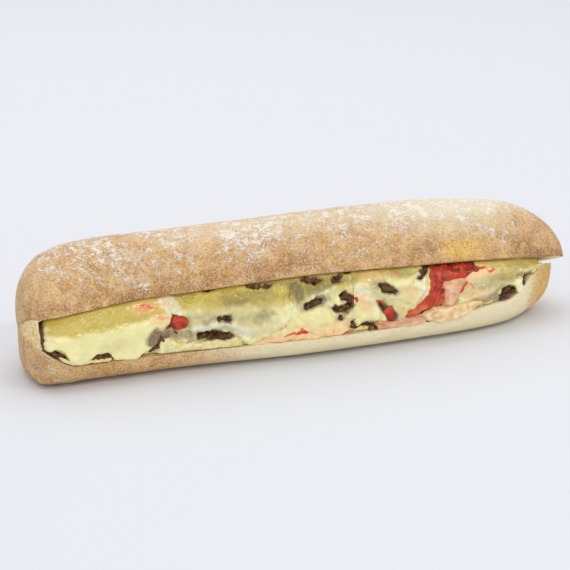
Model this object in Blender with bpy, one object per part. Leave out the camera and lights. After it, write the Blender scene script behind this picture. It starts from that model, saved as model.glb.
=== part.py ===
"""A long submarine sandwich: a floury roll cut from the front and opened by
minced beef, melted cheese slices, tomato sauce and onion strips."""

import bmesh
import bpy
import numpy as np

# Frame in millimetres: x runs along the loaf, the open front looks toward
# minus y, z is up from the flat underside.
HALF_LENGTH = 147.0
TOP_REACH = 9.8        # how far the upper half runs past the lower one at the right
END_SKEW = 7.0         # the left end is cut a little on the slant
HALF_WIDTH = 37.9
WAIST = 16.0           # height of the widest line of the closed roll
DOME = 35.9            # height of the closed roll above that line
HINGE_Y = 29.4
HINGE_Z = 14.7
CUT_FRONT = 12.3       # height of the cut at the front crust
SLIT = 0.6
OPEN_DEG = 25.0

# Changes along the loaf at these stations, as fractions of the half length.
STATIONS = (-1.0, -0.55, 0.0, 0.45, 0.8, 1.0)
FRONT_BULGE = (-0.2, -2.4, 2.3, 0.0, 0.7, -1.1)
DOME_BULGE = (1.6, -0.9, 0.5, 1.3, 0.7, -1.6)
EXTRA_OPEN_DEG = (-3.8, 1.2, 2.5, 1.8, 0.9, -0.2)

# The lower half climbs toward both ends and all but closes the left one.
LEFT_RISE = 12.3
RIGHT_RISE = 5.0
RIGHT_TIP_RISE = 13.5
CLOSED = 0.93          # share of the opening that the ends may fill
CUT_STATIONS = (
    -170.0, -146.5, -144.0, -141.5, -139.0, -135.0, -131.0, -126.0, -100.0, -40.0, 20.0, 60.0,
    80.0, 95.0, 108.0, 113.0, 118.0, 123.0, 128.0, 133.0, 138.0, 143.0, 170.0,
)
CUT_DEPTHS = (-60.0, -35.0, -30.0, -25.0, -12.0, 5.0, 29.4)

CENTRE_X = 4.4
CENTRE_Y = 1.2

GAP = 0.35
SLICE = 2.6            # thickness of a melted slice with its sauce
LAYER = 1.9            # thickness of the yellow layer on the lower half
BACK_Y = 8.0           # the filling ends here, well in front of the hinge
STACK = 7.4            # height that the filling needs where it ends
LAYER_RIGHT = 105.0    # the yellow layer ends here
BEEF_RIGHT = 120.0     # then the beef
FILLING_RIGHT = 136.0  # and last the cheese
MM = 0.001

COLOURS = {
    "crust": (0.66, 0.46, 0.25, 1.0),
    "beef": (0.115, 0.05, 0.022, 1.0),
    "cheese": (0.72, 0.62, 0.30, 1.0),
    "sauce": (0.50, 0.075, 0.025, 1.0),
    "onion": (0.66, 0.40, 0.24, 1.0),
    "yellow": (0.62, 0.44, 0.14, 1.0),
}


def smooth(a):
    a = np.clip(a, 0.0, 1.0)
    return a * a * (3.0 - 2.0 * a)


def along(s, values):
    """Smooth curve through one value for each station."""
    s = np.asarray(s, float)
    out = np.zeros_like(s) + values[0]
    for i in range(len(STATIONS) - 1):
        step = (s - STATIONS[i]) / (STATIONS[i + 1] - STATIONS[i])
        out = out + (values[i + 1] - values[i]) * smooth(step)
    return out


def taper(s, power, root=2.2):
    """Width left at s of an end that is squarer the higher the power."""
    return np.maximum(1.0 - np.abs(s) ** power, 0.0) ** (1.0 / root)


def skin_relief(x, u):
    """Low swellings of the crust in mm, all inward."""
    a = np.sin(x / 17.0 + 2.0 * np.sin(2.0 * u)) + np.sin(x / 29.0 + 3.1 * u)
    b = np.sin(x / 9.5 - 4.0 * u + 1.3)
    return -0.55 + 0.2 * a + 0.12 * b


def roll_point(s, u):
    """Skin of the closed roll: s along it, u round it from the back over the top."""
    left = s < 0.0
    c = np.cos(u)
    sn = np.sin(u)
    front = np.where(left, taper(s, 16.0), taper(s, 1.9))
    back = np.where(left, taper(s, 5.9), taper(s, 5.0))
    high = np.where(left, taper(s, 11.0), taper(s, 6.9, 1.9))
    low_power = 0.62 - 0.24 * smooth((-s - 0.75) / 0.2)
    across = np.sign(c) * np.abs(c) ** np.where(sn >= 0.0, 0.84, low_power)
    upward = np.where(sn >= 0.0, np.abs(sn) ** 0.92, -np.abs(sn) ** 0.62)
    low_round = 0.5 - 0.3 * smooth((-s - 0.75) / 0.2)
    x = HALF_LENGTH * s
    relief = skin_relief(x, u)
    half = HALF_WIDTH + relief + np.where(c < 0.0, along(s, FRONT_BULGE), 0.0)
    y = half * across * np.where(c > 0.0, back, front)
    dome = (DOME + relief + along(s, DOME_BULGE)) * high
    z = WAIST + upward * np.where(upward >= 0.0, dome, (WAIST + 1.0) * high ** low_round)
    x = x + END_SKEW * (y / HALF_WIDTH) * np.clip(-s, 0.0, 1.0) ** 3
    return x, y, np.maximum(z, 0.0)


def cut_height(y):
    run = (np.asarray(y, float) + HALF_WIDTH) / (HINGE_Y + HALF_WIDTH)
    return CUT_FRONT + (HINGE_Z - CUT_FRONT) * np.clip(run, -0.5, 1.0)


def full_angle(x):
    return np.radians(OPEN_DEG + along(np.clip(x / HALF_LENGTH, -1.0, 1.0), EXTRA_OPEN_DEG))


def rim_rise(x):
    """How far the rim of the lower half climbs near the ends, in mm."""
    left = LEFT_RISE * np.clip((-126.0 - x) / 21.0, 0.0, 1.2) ** 1.25
    right = RIGHT_RISE * smooth((x - 55.0) / 60.0) + RIGHT_TIP_RISE * smooth((x - 108.0) / 26.0)
    return left + right


def end_rise(x, y):
    """The climb of the whole cut face, kept below the upper half. A wall shuts the left end."""
    room = CLOSED * np.clip(HINGE_Y - y, 0.0, None) * np.sin(full_angle(x)) + 1e-6
    rise = rim_rise(x) * room / (rim_rise(x) ** 8 + room ** 8) ** 0.125
    wall = smooth((-141.5 - x) / 3.0) * smooth((y + 36.0) / 13.0)
    return rise + (room - rise) * wall


def floor_height(x, y):
    """Top of the lower half once it is open."""
    return cut_height(y) + end_rise(x, y)


def lift_share(y, z):
    """1 for what swings up with the upper half, 0 for what stays, smooth behind the hinge."""
    phi = np.arctan2(z - HINGE_Z, HINGE_Y - y)
    phi = np.where(phi < -np.pi / 2, phi + 2.0 * np.pi, phi)
    share = 1.0 - smooth((phi - np.radians(110.0)) / np.radians(140.0))
    share = np.where(phi < 0.0, 0.0, share)
    return np.where(y < HINGE_Y - 0.5, (z > cut_height(y)).astype(float), share)


def opened(x, y, z, share):
    """Swing the upper half up about the hinge line along the back."""
    s = np.clip(x / HALF_LENGTH, -1.0, 1.0)
    right = np.clip(s, 0.0, 0.999)
    left = np.clip(s, -0.999, 0.0)
    fuller = (taper(right, 3.4) + 0.02) / (taper(right, 1.9) + 0.02)
    fuller = fuller * (taper(left, 30.0) + 0.02) / (taper(left, 16.0) + 0.02)
    y = np.where(y < 0.0, y * (1.0 + (fuller - 1.0) * (1.0 - share)), y)
    z = z + end_rise(x, y) * (1.0 - share) * np.clip(z / cut_height(y), 0.0, 1.0)
    angle = full_angle(x) * share
    dy = y - HINGE_Y
    dz = z - HINGE_Z
    new_x = x + TOP_REACH * share * np.clip(s, 0.0, 1.0) ** 2
    new_y = HINGE_Y + dy * np.cos(angle) + dz * np.sin(angle)
    new_z = HINGE_Z - dy * np.sin(angle) + dz * np.cos(angle)
    return new_x, new_y, new_z


def front_point(x, phi):
    """Outer face of the filling in front of the upper half, phi from 0 at the top to a
    right angle at the foot. Returns y, z and the opening angle."""
    s = np.clip(x / HALF_LENGTH, -1.0, 1.0)
    angle = full_angle(x)
    half = HALF_WIDTH - 0.5 + along(s, FRONT_BULGE)
    edge = -half * np.where(s < 0.0, taper(s, 16.0), taper(s, 1.9))
    rim = -half * np.where(s < 0.0, taper(s, 30.0), taper(s, 3.4))
    dy = edge + 3.5 - HINGE_Y
    dz = cut_height(edge + 3.5) - 0.3 - HINGE_Z
    top_y = HINGE_Y + dy * np.cos(angle) + dz * np.sin(angle)
    top_z = HINGE_Z - dy * np.sin(angle) + dz * np.cos(angle)
    foot_y = rim + 1.0
    foot_z = floor_height(x, foot_y) + 0.4
    y = top_y + (foot_y - top_y) * np.sin(phi) ** 0.95
    z = foot_z + (top_z - foot_z) * np.cos(phi) ** 0.85
    return y, z, angle


def arc_table():
    """Angle against share of the arc length, taken at mid length."""
    phi = np.linspace(0.0, np.pi / 2 - 1e-6, 200)
    y, z, _ = front_point(np.zeros(200), phi)
    run = np.concatenate(([0.0], np.cumsum(np.hypot(np.diff(y), np.diff(z)))))
    return run / run[-1], phi


ARC_SHARE, ARC_PHI = arc_table()


def back_line(x, top_y):
    """Where the filling ends toward the hinge: further forward where the roll closes."""
    limit = HINGE_Y - (STACK + rim_rise(x)) / np.sin(full_angle(x))
    return np.clip(limit, top_y + 3.0, BACK_Y)


def outline_point(x, u):
    """u from -1 under the upper half, over 0 at its edge, to 1 at the foot."""
    phi = np.interp(u, ARC_SHARE, ARC_PHI)
    y, z, angle = front_point(x, phi)
    run = np.clip(-u, 0.0, None) * (back_line(x, y) - y) / np.cos(angle)
    return y + run * np.cos(angle), z - run * np.sin(angle)


def place(x, u, n):
    """Point of the filling: x along, u over the outline, n mm out from it."""
    x = np.asarray(x, float)
    u = np.asarray(u, float)
    y, z = outline_point(x, u)
    ya, za = outline_point(x, np.clip(u - 0.05, -1.2, 0.999))
    yb, zb = outline_point(x, np.clip(u + 0.05, -1.2, 0.999))
    size = np.hypot(yb - ya, zb - za)
    return x, y + n * (zb - za) / size, z - n * (yb - ya) / size


# Building helpers

def to_object(name, bm, collection):
    bmesh.ops.recalc_face_normals(bm, faces=bm.faces)
    bmesh.ops.triangulate(bm, faces=bm.faces)
    if bm.calc_volume(signed=True) < 0.0:
        bmesh.ops.reverse_faces(bm, faces=bm.faces)
    mesh = bpy.data.meshes.new(name)
    bm.to_mesh(mesh)
    bm.free()
    obj = bpy.data.objects.new(name, mesh)
    collection.objects.link(obj)
    return obj


def map_vertices(bm, function):
    """Move every vertex through function(x, y, z), which takes and gives arrays."""
    points = np.array([v.co[:] for v in bm.verts])
    moved = np.stack(function(points[:, 0], points[:, 1], points[:, 2]), axis=1)
    for vert, point in zip(bm.verts, moved):
        vert.co = point


def apply_modifier(obj, modifier):
    bpy.context.view_layer.objects.active = obj
    bpy.ops.object.modifier_apply(modifier=modifier.name)


def subtract(obj, cutter):
    modifier = obj.modifiers.new("Cut", "BOOLEAN")
    modifier.operation = "DIFFERENCE"
    modifier.solver = "EXACT"
    modifier.object = cutter
    apply_modifier(obj, modifier)


def finish(obj, colour, flat=False):
    """Shift to the centre, scale to metres, clean and give the colour."""
    bm = bmesh.new()
    bm.from_mesh(obj.data)
    bmesh.ops.remove_doubles(bm, verts=bm.verts, dist=0.003)
    map_vertices(bm, lambda x, y, z: ((x - CENTRE_X) * MM, (y - CENTRE_Y) * MM, z * MM))
    bmesh.ops.recalc_face_normals(bm, faces=bm.faces)
    bm.to_mesh(obj.data)
    bm.free()
    material = bpy.data.materials.get(colour) or bpy.data.materials.new(colour)
    material.use_nodes = True
    shader = material.node_tree.nodes["Principled BSDF"]
    shader.inputs["Base Color"].default_value = COLOURS[colour]
    shader.inputs["Roughness"].default_value = 0.6
    obj.data.materials.clear()
    obj.data.materials.append(material)
    for polygon in obj.data.polygons:
        polygon.use_smooth = not flat


# Bread

def make_slit(cutters):
    """A thin slab from in front of the roll to the hinge, with grid lines where the cut
    faces bend."""
    bm = bmesh.new()
    columns = len(CUT_STATIONS) - 1
    rows = len(CUT_DEPTHS) - 1
    bmesh.ops.create_grid(bm, x_segments=columns, y_segments=rows, size=0.5)
    grown = bmesh.ops.extrude_face_region(bm, geom=list(bm.faces))
    for item in grown["geom"]:
        if isinstance(item, bmesh.types.BMVert):
            item.co.z = 1.0
    slope = (HINGE_Z - CUT_FRONT) / (HINGE_Y + HALF_WIDTH)

    def slit(x, y, z):
        px = np.interp((x + 0.5) * columns, np.arange(columns + 1), CUT_STATIONS)
        py = np.interp((y + 0.5) * rows, np.arange(rows + 1), CUT_DEPTHS)
        return px, py, HINGE_Z + (py - HINGE_Y) * slope + (z - 0.5) * SLIT

    map_vertices(bm, slit)
    return to_object("slit", bm, cutters)


def make_bread(parts, cutters):
    """The closed roll is cut from the front to near the back, then swung open."""
    bm = bmesh.new()
    bmesh.ops.create_uvsphere(bm, u_segments=34, v_segments=42, radius=1.0)
    map_vertices(bm, lambda x, y, z: roll_point(np.clip(z, -1.0, 1.0), np.arctan2(y, x)))
    bread = to_object("bread", bm, parts)
    subtract(bread, make_slit(cutters))
    bm = bmesh.new()
    bm.from_mesh(bread.data)
    bmesh.ops.triangulate(bm, faces=bm.faces)
    map_vertices(bm, lambda x, y, z: opened(x, y, z, lift_share(y, z)))
    bm.to_mesh(bread.data)
    bm.free()
    return bread


# Slices and strips on the filling's outline

def above_floor(point, clearance):
    """Keeps a point of the filling clear of the lower half where its ends climb."""
    x, y, z = point
    raised = np.clip(rim_rise(x) / 3.0, 0.0, 1.0)
    return x, y, np.maximum(z, floor_height(x, y) + (clearance + 0.04 * rim_rise(x)) * raised)


def slab(name, collection, edges, columns, rows, thick=SLICE, lumps=0.35):
    """A closed sheet on the outline. edges gives left(u), right(u) and bottom(a), where
    a runs from 0 at the left to 1 at the right, and rows the share of the height of
    each row. The rim is rounded by thinning it."""
    left, right, bottom, top = edges
    bm = bmesh.new()
    a = np.linspace(0.0, 1.0, columns + 1)
    b = np.array(rows)
    grid_a, grid_b = np.meshgrid(a, b, indexing="ij")
    u = top + (bottom(grid_a) - top) * grid_b
    x = left(u) + (right(u) - left(u)) * grid_a
    inset = np.minimum(np.minimum(grid_a, 1.0 - grid_a) * columns, 1.0)
    inset = np.minimum(inset, np.minimum(grid_b / b[1], (1.0 - grid_b) / (1.0 - b[-2])))
    rim = 0.32 * (1.0 - np.clip(inset, 0.0, 1.0)) * thick
    wave = lumps * (np.sin(x / 3.1 + 5.0 * u) * np.sin(11.0 * u + x / 7.0) - 1.0)
    wave = np.where(u > 0.0, wave * smooth(u / 0.15), 0.0)
    outer = np.stack(above_floor(place(x, u, -rim + wave), 2.0 * GAP + 0.9), axis=2)
    inner = np.stack(above_floor(place(x, u, -thick + rim), 2.0 * GAP), axis=2)
    rings = []
    for layer in (outer, inner):
        rings.append([[bm.verts.new(point) for point in column] for column in layer])
    for i in range(columns):
        for j in range(len(b) - 1):
            for ring in rings:
                bm.faces.new((ring[i][j], ring[i + 1][j], ring[i + 1][j + 1], ring[i][j + 1]))
    border = [(i, 0) for i in range(columns)]
    border += [(columns, j) for j in range(len(b) - 1)]
    border += [(i, len(b) - 1) for i in range(columns, 0, -1)]
    border += [(0, j) for j in range(len(b) - 1, 0, -1)]
    for (i, j), (k, m) in zip(border, border[1:] + border[:1]):
        out, inn = rings
        bm.faces.new((out[i][j], out[k][m], inn[k][m], inn[i][j]))
    return to_object(name, bm, collection)


def pierce(obj, cutters, x, u, half_x, half_arc):
    """An oval hole through a slice; half sizes in mm."""
    bm = bmesh.new()
    bmesh.ops.create_cone(
        bm, cap_ends=True, segments=12, radius1=1.0, radius2=1.0, depth=1.0)
    arc = 31.0

    def oval(px, py, pz):
        wobble = 1.08 + 0.08 * np.sin(3.0 * np.arctan2(py, px) + x)
        depth = 4.4 * pz - 0.7
        return place(x + px * half_x * wobble, u + py * wobble * half_arc / arc, depth)

    map_vertices(bm, oval)
    subtract(obj, to_object(obj.name + "_hole", bm, cutters))


def rows_from(top, count):
    """Row shares: few under the bread, close together on the front."""
    split = -top / (1.0 - top)
    back = [split * k / 3.0 for k in range(3)]
    front = [split + (1.0 - split) * k / count for k in range(count + 1)]
    return back + front


# Edges of the slices, x in mm over u

def curve(*pairs):
    """Straight runs between (u, x) pairs."""
    us = [pair[0] for pair in pairs]
    xs = [pair[1] for pair in pairs]
    return lambda u: np.interp(u, us, xs)


EDGE_A = curve((-1.0, -79.0), (0.35, -78.3), (0.5, -80.0), (0.66, -84.0), (0.85, -89.0), (1.0, -91.0))
EDGE_B_LEFT = curve((-1.0, -78.5), (0.34, -77.8), (0.40, -67.2), (1.0, -66.5))
EDGE_B = curve((-1.0, -12.0), (0.4, -13.5), (0.6, -15.5), (0.7, -18.5), (0.77, -22.0), (0.89, -28.0), (1.0, -38.0))
EDGE_C = curve((-1.0, 20.5), (0.6, 20.5), (1.0, 19.5))
EDGE_D = curve((-1.0, 56.5), (0.14, 56.5), (0.22, 59.5), (0.56, 59.5), (0.63, 47.0), (1.0, 46.0))
SAUCE_LEFT = curve((-1.0, 62.0), (0.16, 62.0), (0.24, 59.9), (0.60, 59.9), (0.68, 47.6), (1.0, 46.6))
SAUCE_RIGHT = curve((-1.0, 98.0), (0.18, 96.0), (0.27, 70.6), (1.0, 70.6))
EDGE_E = curve((-1.0, 99.5), (0.20, 98.5), (0.32, 79.6), (1.0, 79.6))


def shifted(edge, step):
    return lambda u: edge(u) + step


def constant(value):
    return lambda u: np.zeros_like(np.asarray(u, float)) + value


def drips(*pairs):
    """Lower edge of a slice: smooth between (a, u) pairs."""
    def bottom(a):
        out = np.zeros_like(np.asarray(a, float)) + pairs[0][1]
        for (a0, u0), (a1, u1) in zip(pairs, pairs[1:]):
            out = out + (u1 - u0) * smooth((a - a0) / (a1 - a0))
        return out
    return bottom


def make_cheese(parts, cutters):
    top = -0.85
    rows = rows_from(top, 8)
    bottom = drips((0.0, 0.90), (0.05, 0.93), (0.12, 0.75), (0.18, 0.80), (0.27, 0.98), (0.33, 0.985),
                   (0.39, 0.95), (0.46, 0.85), (0.60, 0.84), (0.69, 0.98), (0.90, 0.98), (1.0, 0.92))
    first = slab("cheese_first", parts, (constant(-139.6), EDGE_A, bottom, top), 18, rows)
    bottom = drips((0.0, 0.62), (0.12, 0.86), (0.5, 0.88), (0.75, 0.88), (1.0, 0.92))
    second = slab("cheese_second", parts, (EDGE_B_LEFT, EDGE_B, bottom, top), 16, rows)
    pierce(second, cutters, -54.5, 0.74, 8.6, 2.9)
    pierce(second, cutters, -49.0, 0.50, 3.6, 1.7)
    pierce(second, cutters, -24.0, 0.13, 5.0, 1.3)
    edges = (shifted(EDGE_B, 1.2), EDGE_C, constant(0.985), top)
    third = slab("cheese_third", parts, edges, 12, rows)
    pierce(third, cutters, -4.0, 0.13, 5.2, 1.4)
    pierce(third, cutters, 12.5, 0.13, 2.9, 1.6)
    pierce(third, cutters, -2.5, 0.45, 5.0, 2.9)
    pierce(third, cutters, 13.0, 0.48, 5.6, 4.6)
    bottom = drips((0.0, 0.80), (0.3, 0.86), (1.0, 0.86))
    edges = (shifted(EDGE_C, 0.8), EDGE_D, bottom, top)
    fourth = slab("cheese_fourth", parts, edges, 12, rows)
    pierce(fourth, cutters, 38.0, 0.34, 4.6, 2.7)
    pierce(fourth, cutters, 38.6, 0.68, 2.9, 2.6)
    bottom = drips((0.0, 0.78), (0.225, 0.80), (0.30, 0.95), (0.40, 0.95), (0.46, 0.66), (0.54, 0.60),
                   (0.60, 0.66), (0.64, 0.98), (0.68, 0.98), (0.72, 0.52), (0.79, 0.44), (0.86, 0.95),
                   (1.0, 0.95))
    edges = (EDGE_E, constant(FILLING_RIGHT), bottom, top)
    fifth = slab("cheese_fifth", parts, edges, 21, rows)
    for obj in (first, second, third, fourth, fifth):
        finish(obj, "cheese")


def make_sauce(parts):
    top = -0.6
    edges = (SAUCE_LEFT, SAUCE_RIGHT, constant(0.80), top)
    finish(slab("tomato_sauce", parts, edges, 9, rows_from(top, 10), lumps=0.45), "sauce")
    small = lump("tomato_piece_left", parts, -72.4, 0.49, 4.3, 3.7, 1.9, -0.9)
    finish(small, "sauce")
    small = lump("tomato_piece_right", parts, 38.6, 0.68, 2.3, 2.0, 1.2, -1.5)
    finish(small, "sauce")


def lump(name, collection, x, u, half_x, half_arc, half_n, depth, segments=(12, 8)):
    """A rounded piece with its centre at the given depth."""
    bm = bmesh.new()
    bmesh.ops.create_uvsphere(bm, u_segments=segments[0], v_segments=segments[1], radius=1.0)

    def body(px, py, pz):
        bump = 1.0 + 0.07 * np.sin(4.0 * px + x) * np.sin(3.0 * py + 2.0 * pz)
        return place(x + px * half_x, u + py * half_arc / 31.0, depth + pz * half_n * bump)

    map_vertices(bm, body)
    return to_object(name, bm, collection)


def make_onion(parts):
    rows = [0.0, 0.12, 0.3, 0.5, 0.7, 0.88, 1.0]
    edges = (constant(71.0), constant(79.2), constant(0.81), 0.32)
    tall = slab("onion_strip_tall", parts, edges, 5, rows, lumps=0.3)
    edges = (constant(31.5), constant(58.0), constant(0.985), 0.895)
    flat = slab("onion_strip_flat", parts, edges, 9, [0.0, 0.3, 0.7, 1.0], lumps=0.2)
    edges = (constant(60.5), constant(92.0), constant(0.975), 0.845)
    low = slab("onion_strip_low", parts, edges, 10, [0.0, 0.25, 0.5, 0.75, 1.0], lumps=0.3)
    for obj in (tall, flat, low):
        finish(obj, "onion")


def make_yellow_layer(parts):
    """Soft yellow layer lying on the lower half from the back to the rim."""
    columns = 32
    xs = np.linspace(-138.0, LAYER_RIGHT, columns + 1)
    bm = bmesh.new()
    rings = []
    for x in xs:
        ends, _ = outline_point(np.array([x, x]), np.array([1.0, -0.95]))
        back = float(ends[1])
        front = float(ends[0]) + 0.4 * np.sin(x / 4.0)
        front += 3.2 * (1.0 - smooth((x + 86.0) / 3.0) * smooth((-37.0 - x) / 3.0))
        middle = 0.5 * (front + back)
        ys = (front, front + 0.6, front + 2.0, middle, back, back, middle, front + 0.4)
        lift = (0.9, 1.6, LAYER, LAYER, LAYER, 0.0, 0.0, 0.0)
        low = [float(floor_height(x, y)) + SLIT / 2 + GAP + 0.04 * float(rim_rise(x)) for y in ys]
        ring = [bm.verts.new((x, y, z + t)) for y, z, t in zip(ys, low, lift)]
        rings.append(ring)
    for one, two in zip(rings, rings[1:]):
        for k in range(8):
            m = (k + 1) % 8
            bm.faces.new((one[k], one[m], two[m], two[k]))
    bm.faces.new(rings[0])
    bm.faces.new(list(reversed(rings[-1])))
    finish(to_object("yellow_layer", bm, parts), "yellow")


def make_beef(parts):
    """A core under the slices with the pieces that show fused on."""
    columns = 33
    xs = np.linspace(-140.6, BEEF_RIGHT, columns + 1)
    us = np.array([-0.98, -0.6, -0.3, -0.08, 0.1, 0.25, 0.4, 0.55, 0.7, 0.84, 0.90])
    bm = bmesh.new()
    rings = []
    for k, x in enumerate(xs):
        under = LAYER + 2 * GAP if x < LAYER_RIGHT + 6.0 else 0.0
        under += SLIT / 2 + GAP + 0.1 * float(rim_rise(x))
        # The face stops at the lowest place that leaves room for the layer below.
        trial = np.linspace(0.3, 0.9, 25)
        y_trial, z_trial = outline_point(np.full(25, x), trial)
        fits = z_trial > floor_height(x, y_trial[-1]) + under + 1.8 + 0.15 * float(rim_rise(x))
        share = trial[fits].max() / 0.9 if fits.any() else 0.33
        column = np.where(us > 0.0, us * share, us)
        depth = -(SLICE + GAP + 0.1) - 0.25 * (1.0 + np.sin(us * 9.0 + x / 5.0))
        depth = depth - 0.1 * float(rim_rise(x))
        px, py, pz = place(np.full(len(us), x), column, depth)
        floor_y = [py[-1] + 1.0, 0.5 * (py[-1] + py[0]), py[0]]
        floor = [(y, float(floor_height(x, y)) + under) for y in floor_y]
        pz = np.maximum(pz, floor[0][1] + 0.6 + 4.0 * np.clip(0.9 - us, 0.0, 0.2))
        ring = [bm.verts.new((x, y, z)) for y, z in zip(py, pz)]
        ring += [bm.verts.new((x, y, z)) for y, z in floor]
        rings.append(ring)
    count = len(rings[0])
    for one, two in zip(rings, rings[1:]):
        for k in range(count):
            m = (k + 1) % count
            bm.faces.new((one[k], one[m], two[m], two[k]))
    bm.faces.new(rings[0])
    bm.faces.new(list(reversed(rings[-1])))
    core = to_object("beef", bm, parts)
    pieces = bpy.data.collections.new("beef_pieces")
    bpy.context.scene.collection.children.link(pieces)
    for k, (x, u, half_x, half_arc) in enumerate(BEEF_PIECES):
        lump("piece%d" % k, pieces, x, u, half_x, half_arc, 2.6, -3.0, (10, 6))
    modifier = core.modifiers.new("Join", "BOOLEAN")
    modifier.operation = "UNION"
    modifier.solver = "EXACT"
    modifier.operand_type = "COLLECTION"
    modifier.collection = pieces
    apply_modifier(core, modifier)
    for obj in list(pieces.objects):
        bpy.data.objects.remove(obj)
    bpy.data.collections.remove(pieces)
    finish(core, "beef")


# Pieces of beef that show: x, u, half length and half height in mm
BEEF_PIECES = (
    (-58.4, 0.735, 3.2, 1.6), (-51.8, 0.745, 4.2, 1.9), (-49.0, 0.50, 2.9, 1.2),
    (-2.5, 0.45, 4.1, 2.2), (10.8, 0.44, 2.5, 2.5), (15.6, 0.51, 2.6, 2.9),
    (38.0, 0.34, 3.8, 2.1), (109.3, 0.79, 3.9, 2.0),
    (-74.0, 0.74, 4.6, 2.9), (-80.6, 0.79, 3.3, 2.1), (59.2, 0.09, 2.2, 2.6),
    (-24.0, 0.13, 4.0, 0.8), (-4.0, 0.13, 4.2, 0.9), (12.5, 0.13, 2.1, 1.1),
)


def main():
    for obj in list(bpy.data.objects):
        bpy.data.objects.remove(obj)
    parts = bpy.data.collections.new("submarine_sandwich")
    cutters = bpy.data.collections.new("cutters")
    bpy.context.scene.collection.children.link(parts)
    bpy.context.scene.collection.children.link(cutters)
    finish(make_bread(parts, cutters), "crust")
    make_yellow_layer(parts)
    make_beef(parts)
    make_cheese(parts, cutters)
    make_sauce(parts)
    make_onion(parts)
    for obj in cutters.objects:
        obj.hide_render = True
        obj.display_type = "WIRE"


main()
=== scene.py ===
"""Looks of the submarine sandwich: a floury roll opened along the front, with minced beef,
melted cheese, tomato sauce and onion. Sizes in this script are in millimetres until a mesh
is made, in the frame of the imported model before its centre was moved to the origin."""

import bmesh
import bpy
import numpy as np
from mathutils import Matrix, Vector, noise


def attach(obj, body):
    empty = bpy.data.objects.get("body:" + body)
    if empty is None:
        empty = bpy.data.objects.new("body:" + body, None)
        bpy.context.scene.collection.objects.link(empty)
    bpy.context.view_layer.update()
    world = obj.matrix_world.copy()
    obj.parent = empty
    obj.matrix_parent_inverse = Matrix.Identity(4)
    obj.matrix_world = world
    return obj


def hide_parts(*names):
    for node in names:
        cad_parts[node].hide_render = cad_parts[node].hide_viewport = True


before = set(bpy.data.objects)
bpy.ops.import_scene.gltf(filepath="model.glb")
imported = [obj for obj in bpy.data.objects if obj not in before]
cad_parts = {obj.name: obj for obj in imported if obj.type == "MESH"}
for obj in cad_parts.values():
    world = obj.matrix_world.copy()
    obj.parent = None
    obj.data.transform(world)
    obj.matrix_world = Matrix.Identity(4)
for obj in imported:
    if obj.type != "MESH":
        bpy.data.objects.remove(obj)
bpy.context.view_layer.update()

# Bread
# A long floury roll with a thin crisp crust and a pale crumb. It is made closed, cut from
# the front to near the back with a rough cutter that leaves the crumb, and swung open. The
# lower half climbs at both ends, and torn crumb shows where it closes the left one.

# The closed roll in mm: its top half reaches further to the right than its bottom half, and
# its left end is skewed.
HALF_LENGTH = 147.0
TOP_REACH = 9.8
END_SKEW = 7.0
HALF_WIDTH = 37.9
WAIST = 16.0
DOME = 35.9
# The cut: its hinge line near the back, its height at the front and the gap that it leaves.
HINGE_Y = 29.4
HINGE_Z = 14.7
CUT_FRONT = 12.3
SLIT = 0.6
CUTTER_OUTSIDE = 12.0
OPEN_DEG = 25.0
# How square the left and right ends are, for the closed roll and for the opened lower half.
FRONT_TAPER = (16.0, 1.9)
LOWER_TAPER = (30.0, 3.4)
# Hand-shaped unevenness at stations along the roll, from -1 at the left end to 1: the bulge
# of the front and of the top in mm, and how much wider it opens than elsewhere, in degrees.
STATIONS = (-1.0, -0.55, 0.0, 0.45, 0.8, 1.0)
FRONT_BULGE = (-0.2, -2.4, 2.3, 0.0, 0.7, -1.1)
DOME_BULGE = (1.6, -0.9, 0.5, 1.3, 0.7, -1.6)
EXTRA_OPEN_DEG = (-3.8, 1.2, 2.5, 1.8, 0.9, -0.2)
# The climb of the lower half's rim at the ends in mm, and the share of the gap that it fills.
LEFT_RISE = 12.3
RIGHT_RISE = 5.0
RIGHT_TIP_RISE = 13.5
CLOSED = 0.93
# Browner spots: x, strength and half length in mm. Flour: size in mm, detail, roughness and
# weight of each layer of its noise. Real grains of flour are too fine to show in the render,
# so the smallest specks are drawn at 0.9 mm.
BROWN_SPOTS = ((-108.0, 0.6, 9.0), (-12.0, 0.8, 8.0), (62.0, 0.9, 9.0), (116.0, 0.8, 12.0))
FLOUR_CLUSTERS = ((22.0, 2.0, 0.5, 0.5), (4.4, 4.0, 0.72, 1.3), (0.9, 2.0, 0.6, 0.9))
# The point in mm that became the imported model's origin, and the metres in one mm.
CENTRE = np.array([4.4, 1.2, 0.0])
MM = 0.001


def smooth(a):
    """Soft step that runs from 0 to 1 as a does."""
    a = np.clip(a, 0.0, 1.0)
    return a * a * (3.0 - 2.0 * a)


def bumps(points, size, seed=0.0, octaves=1):
    """Soft noise from -1 to 1 with lumps of the given size in mm."""
    flat = np.asarray(points, float).reshape(-1, 3) / size + seed * 7.31
    if octaves == 1:
        values = [noise.noise(p) for p in flat]
    else:
        values = [noise.fractal(p, 0.8, 2.0, octaves) for p in flat]
    return np.array(values).reshape(np.asarray(points).shape[:-1])


def points_of(verts):
    """The places of a bmesh's vertices as an array."""
    return np.array([v.co[:] for v in verts])


def move_to(verts, points):
    for vert, point in zip(verts, points):
        vert.co = point


def along(s, values):
    """Smooth curve through one value for each station."""
    s = np.asarray(s, float)
    out = np.zeros_like(s) + values[0]
    for i in range(len(STATIONS) - 1):
        step = (s - STATIONS[i]) / (STATIONS[i + 1] - STATIONS[i])
        out = out + (values[i + 1] - values[i]) * smooth(step)
    return out


def taper(s, power, root=2.2):
    """Width left at s of an end that is squarer the higher the power."""
    return np.maximum(1.0 - np.abs(s) ** power, 0.0) ** (1.0 / root)


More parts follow.
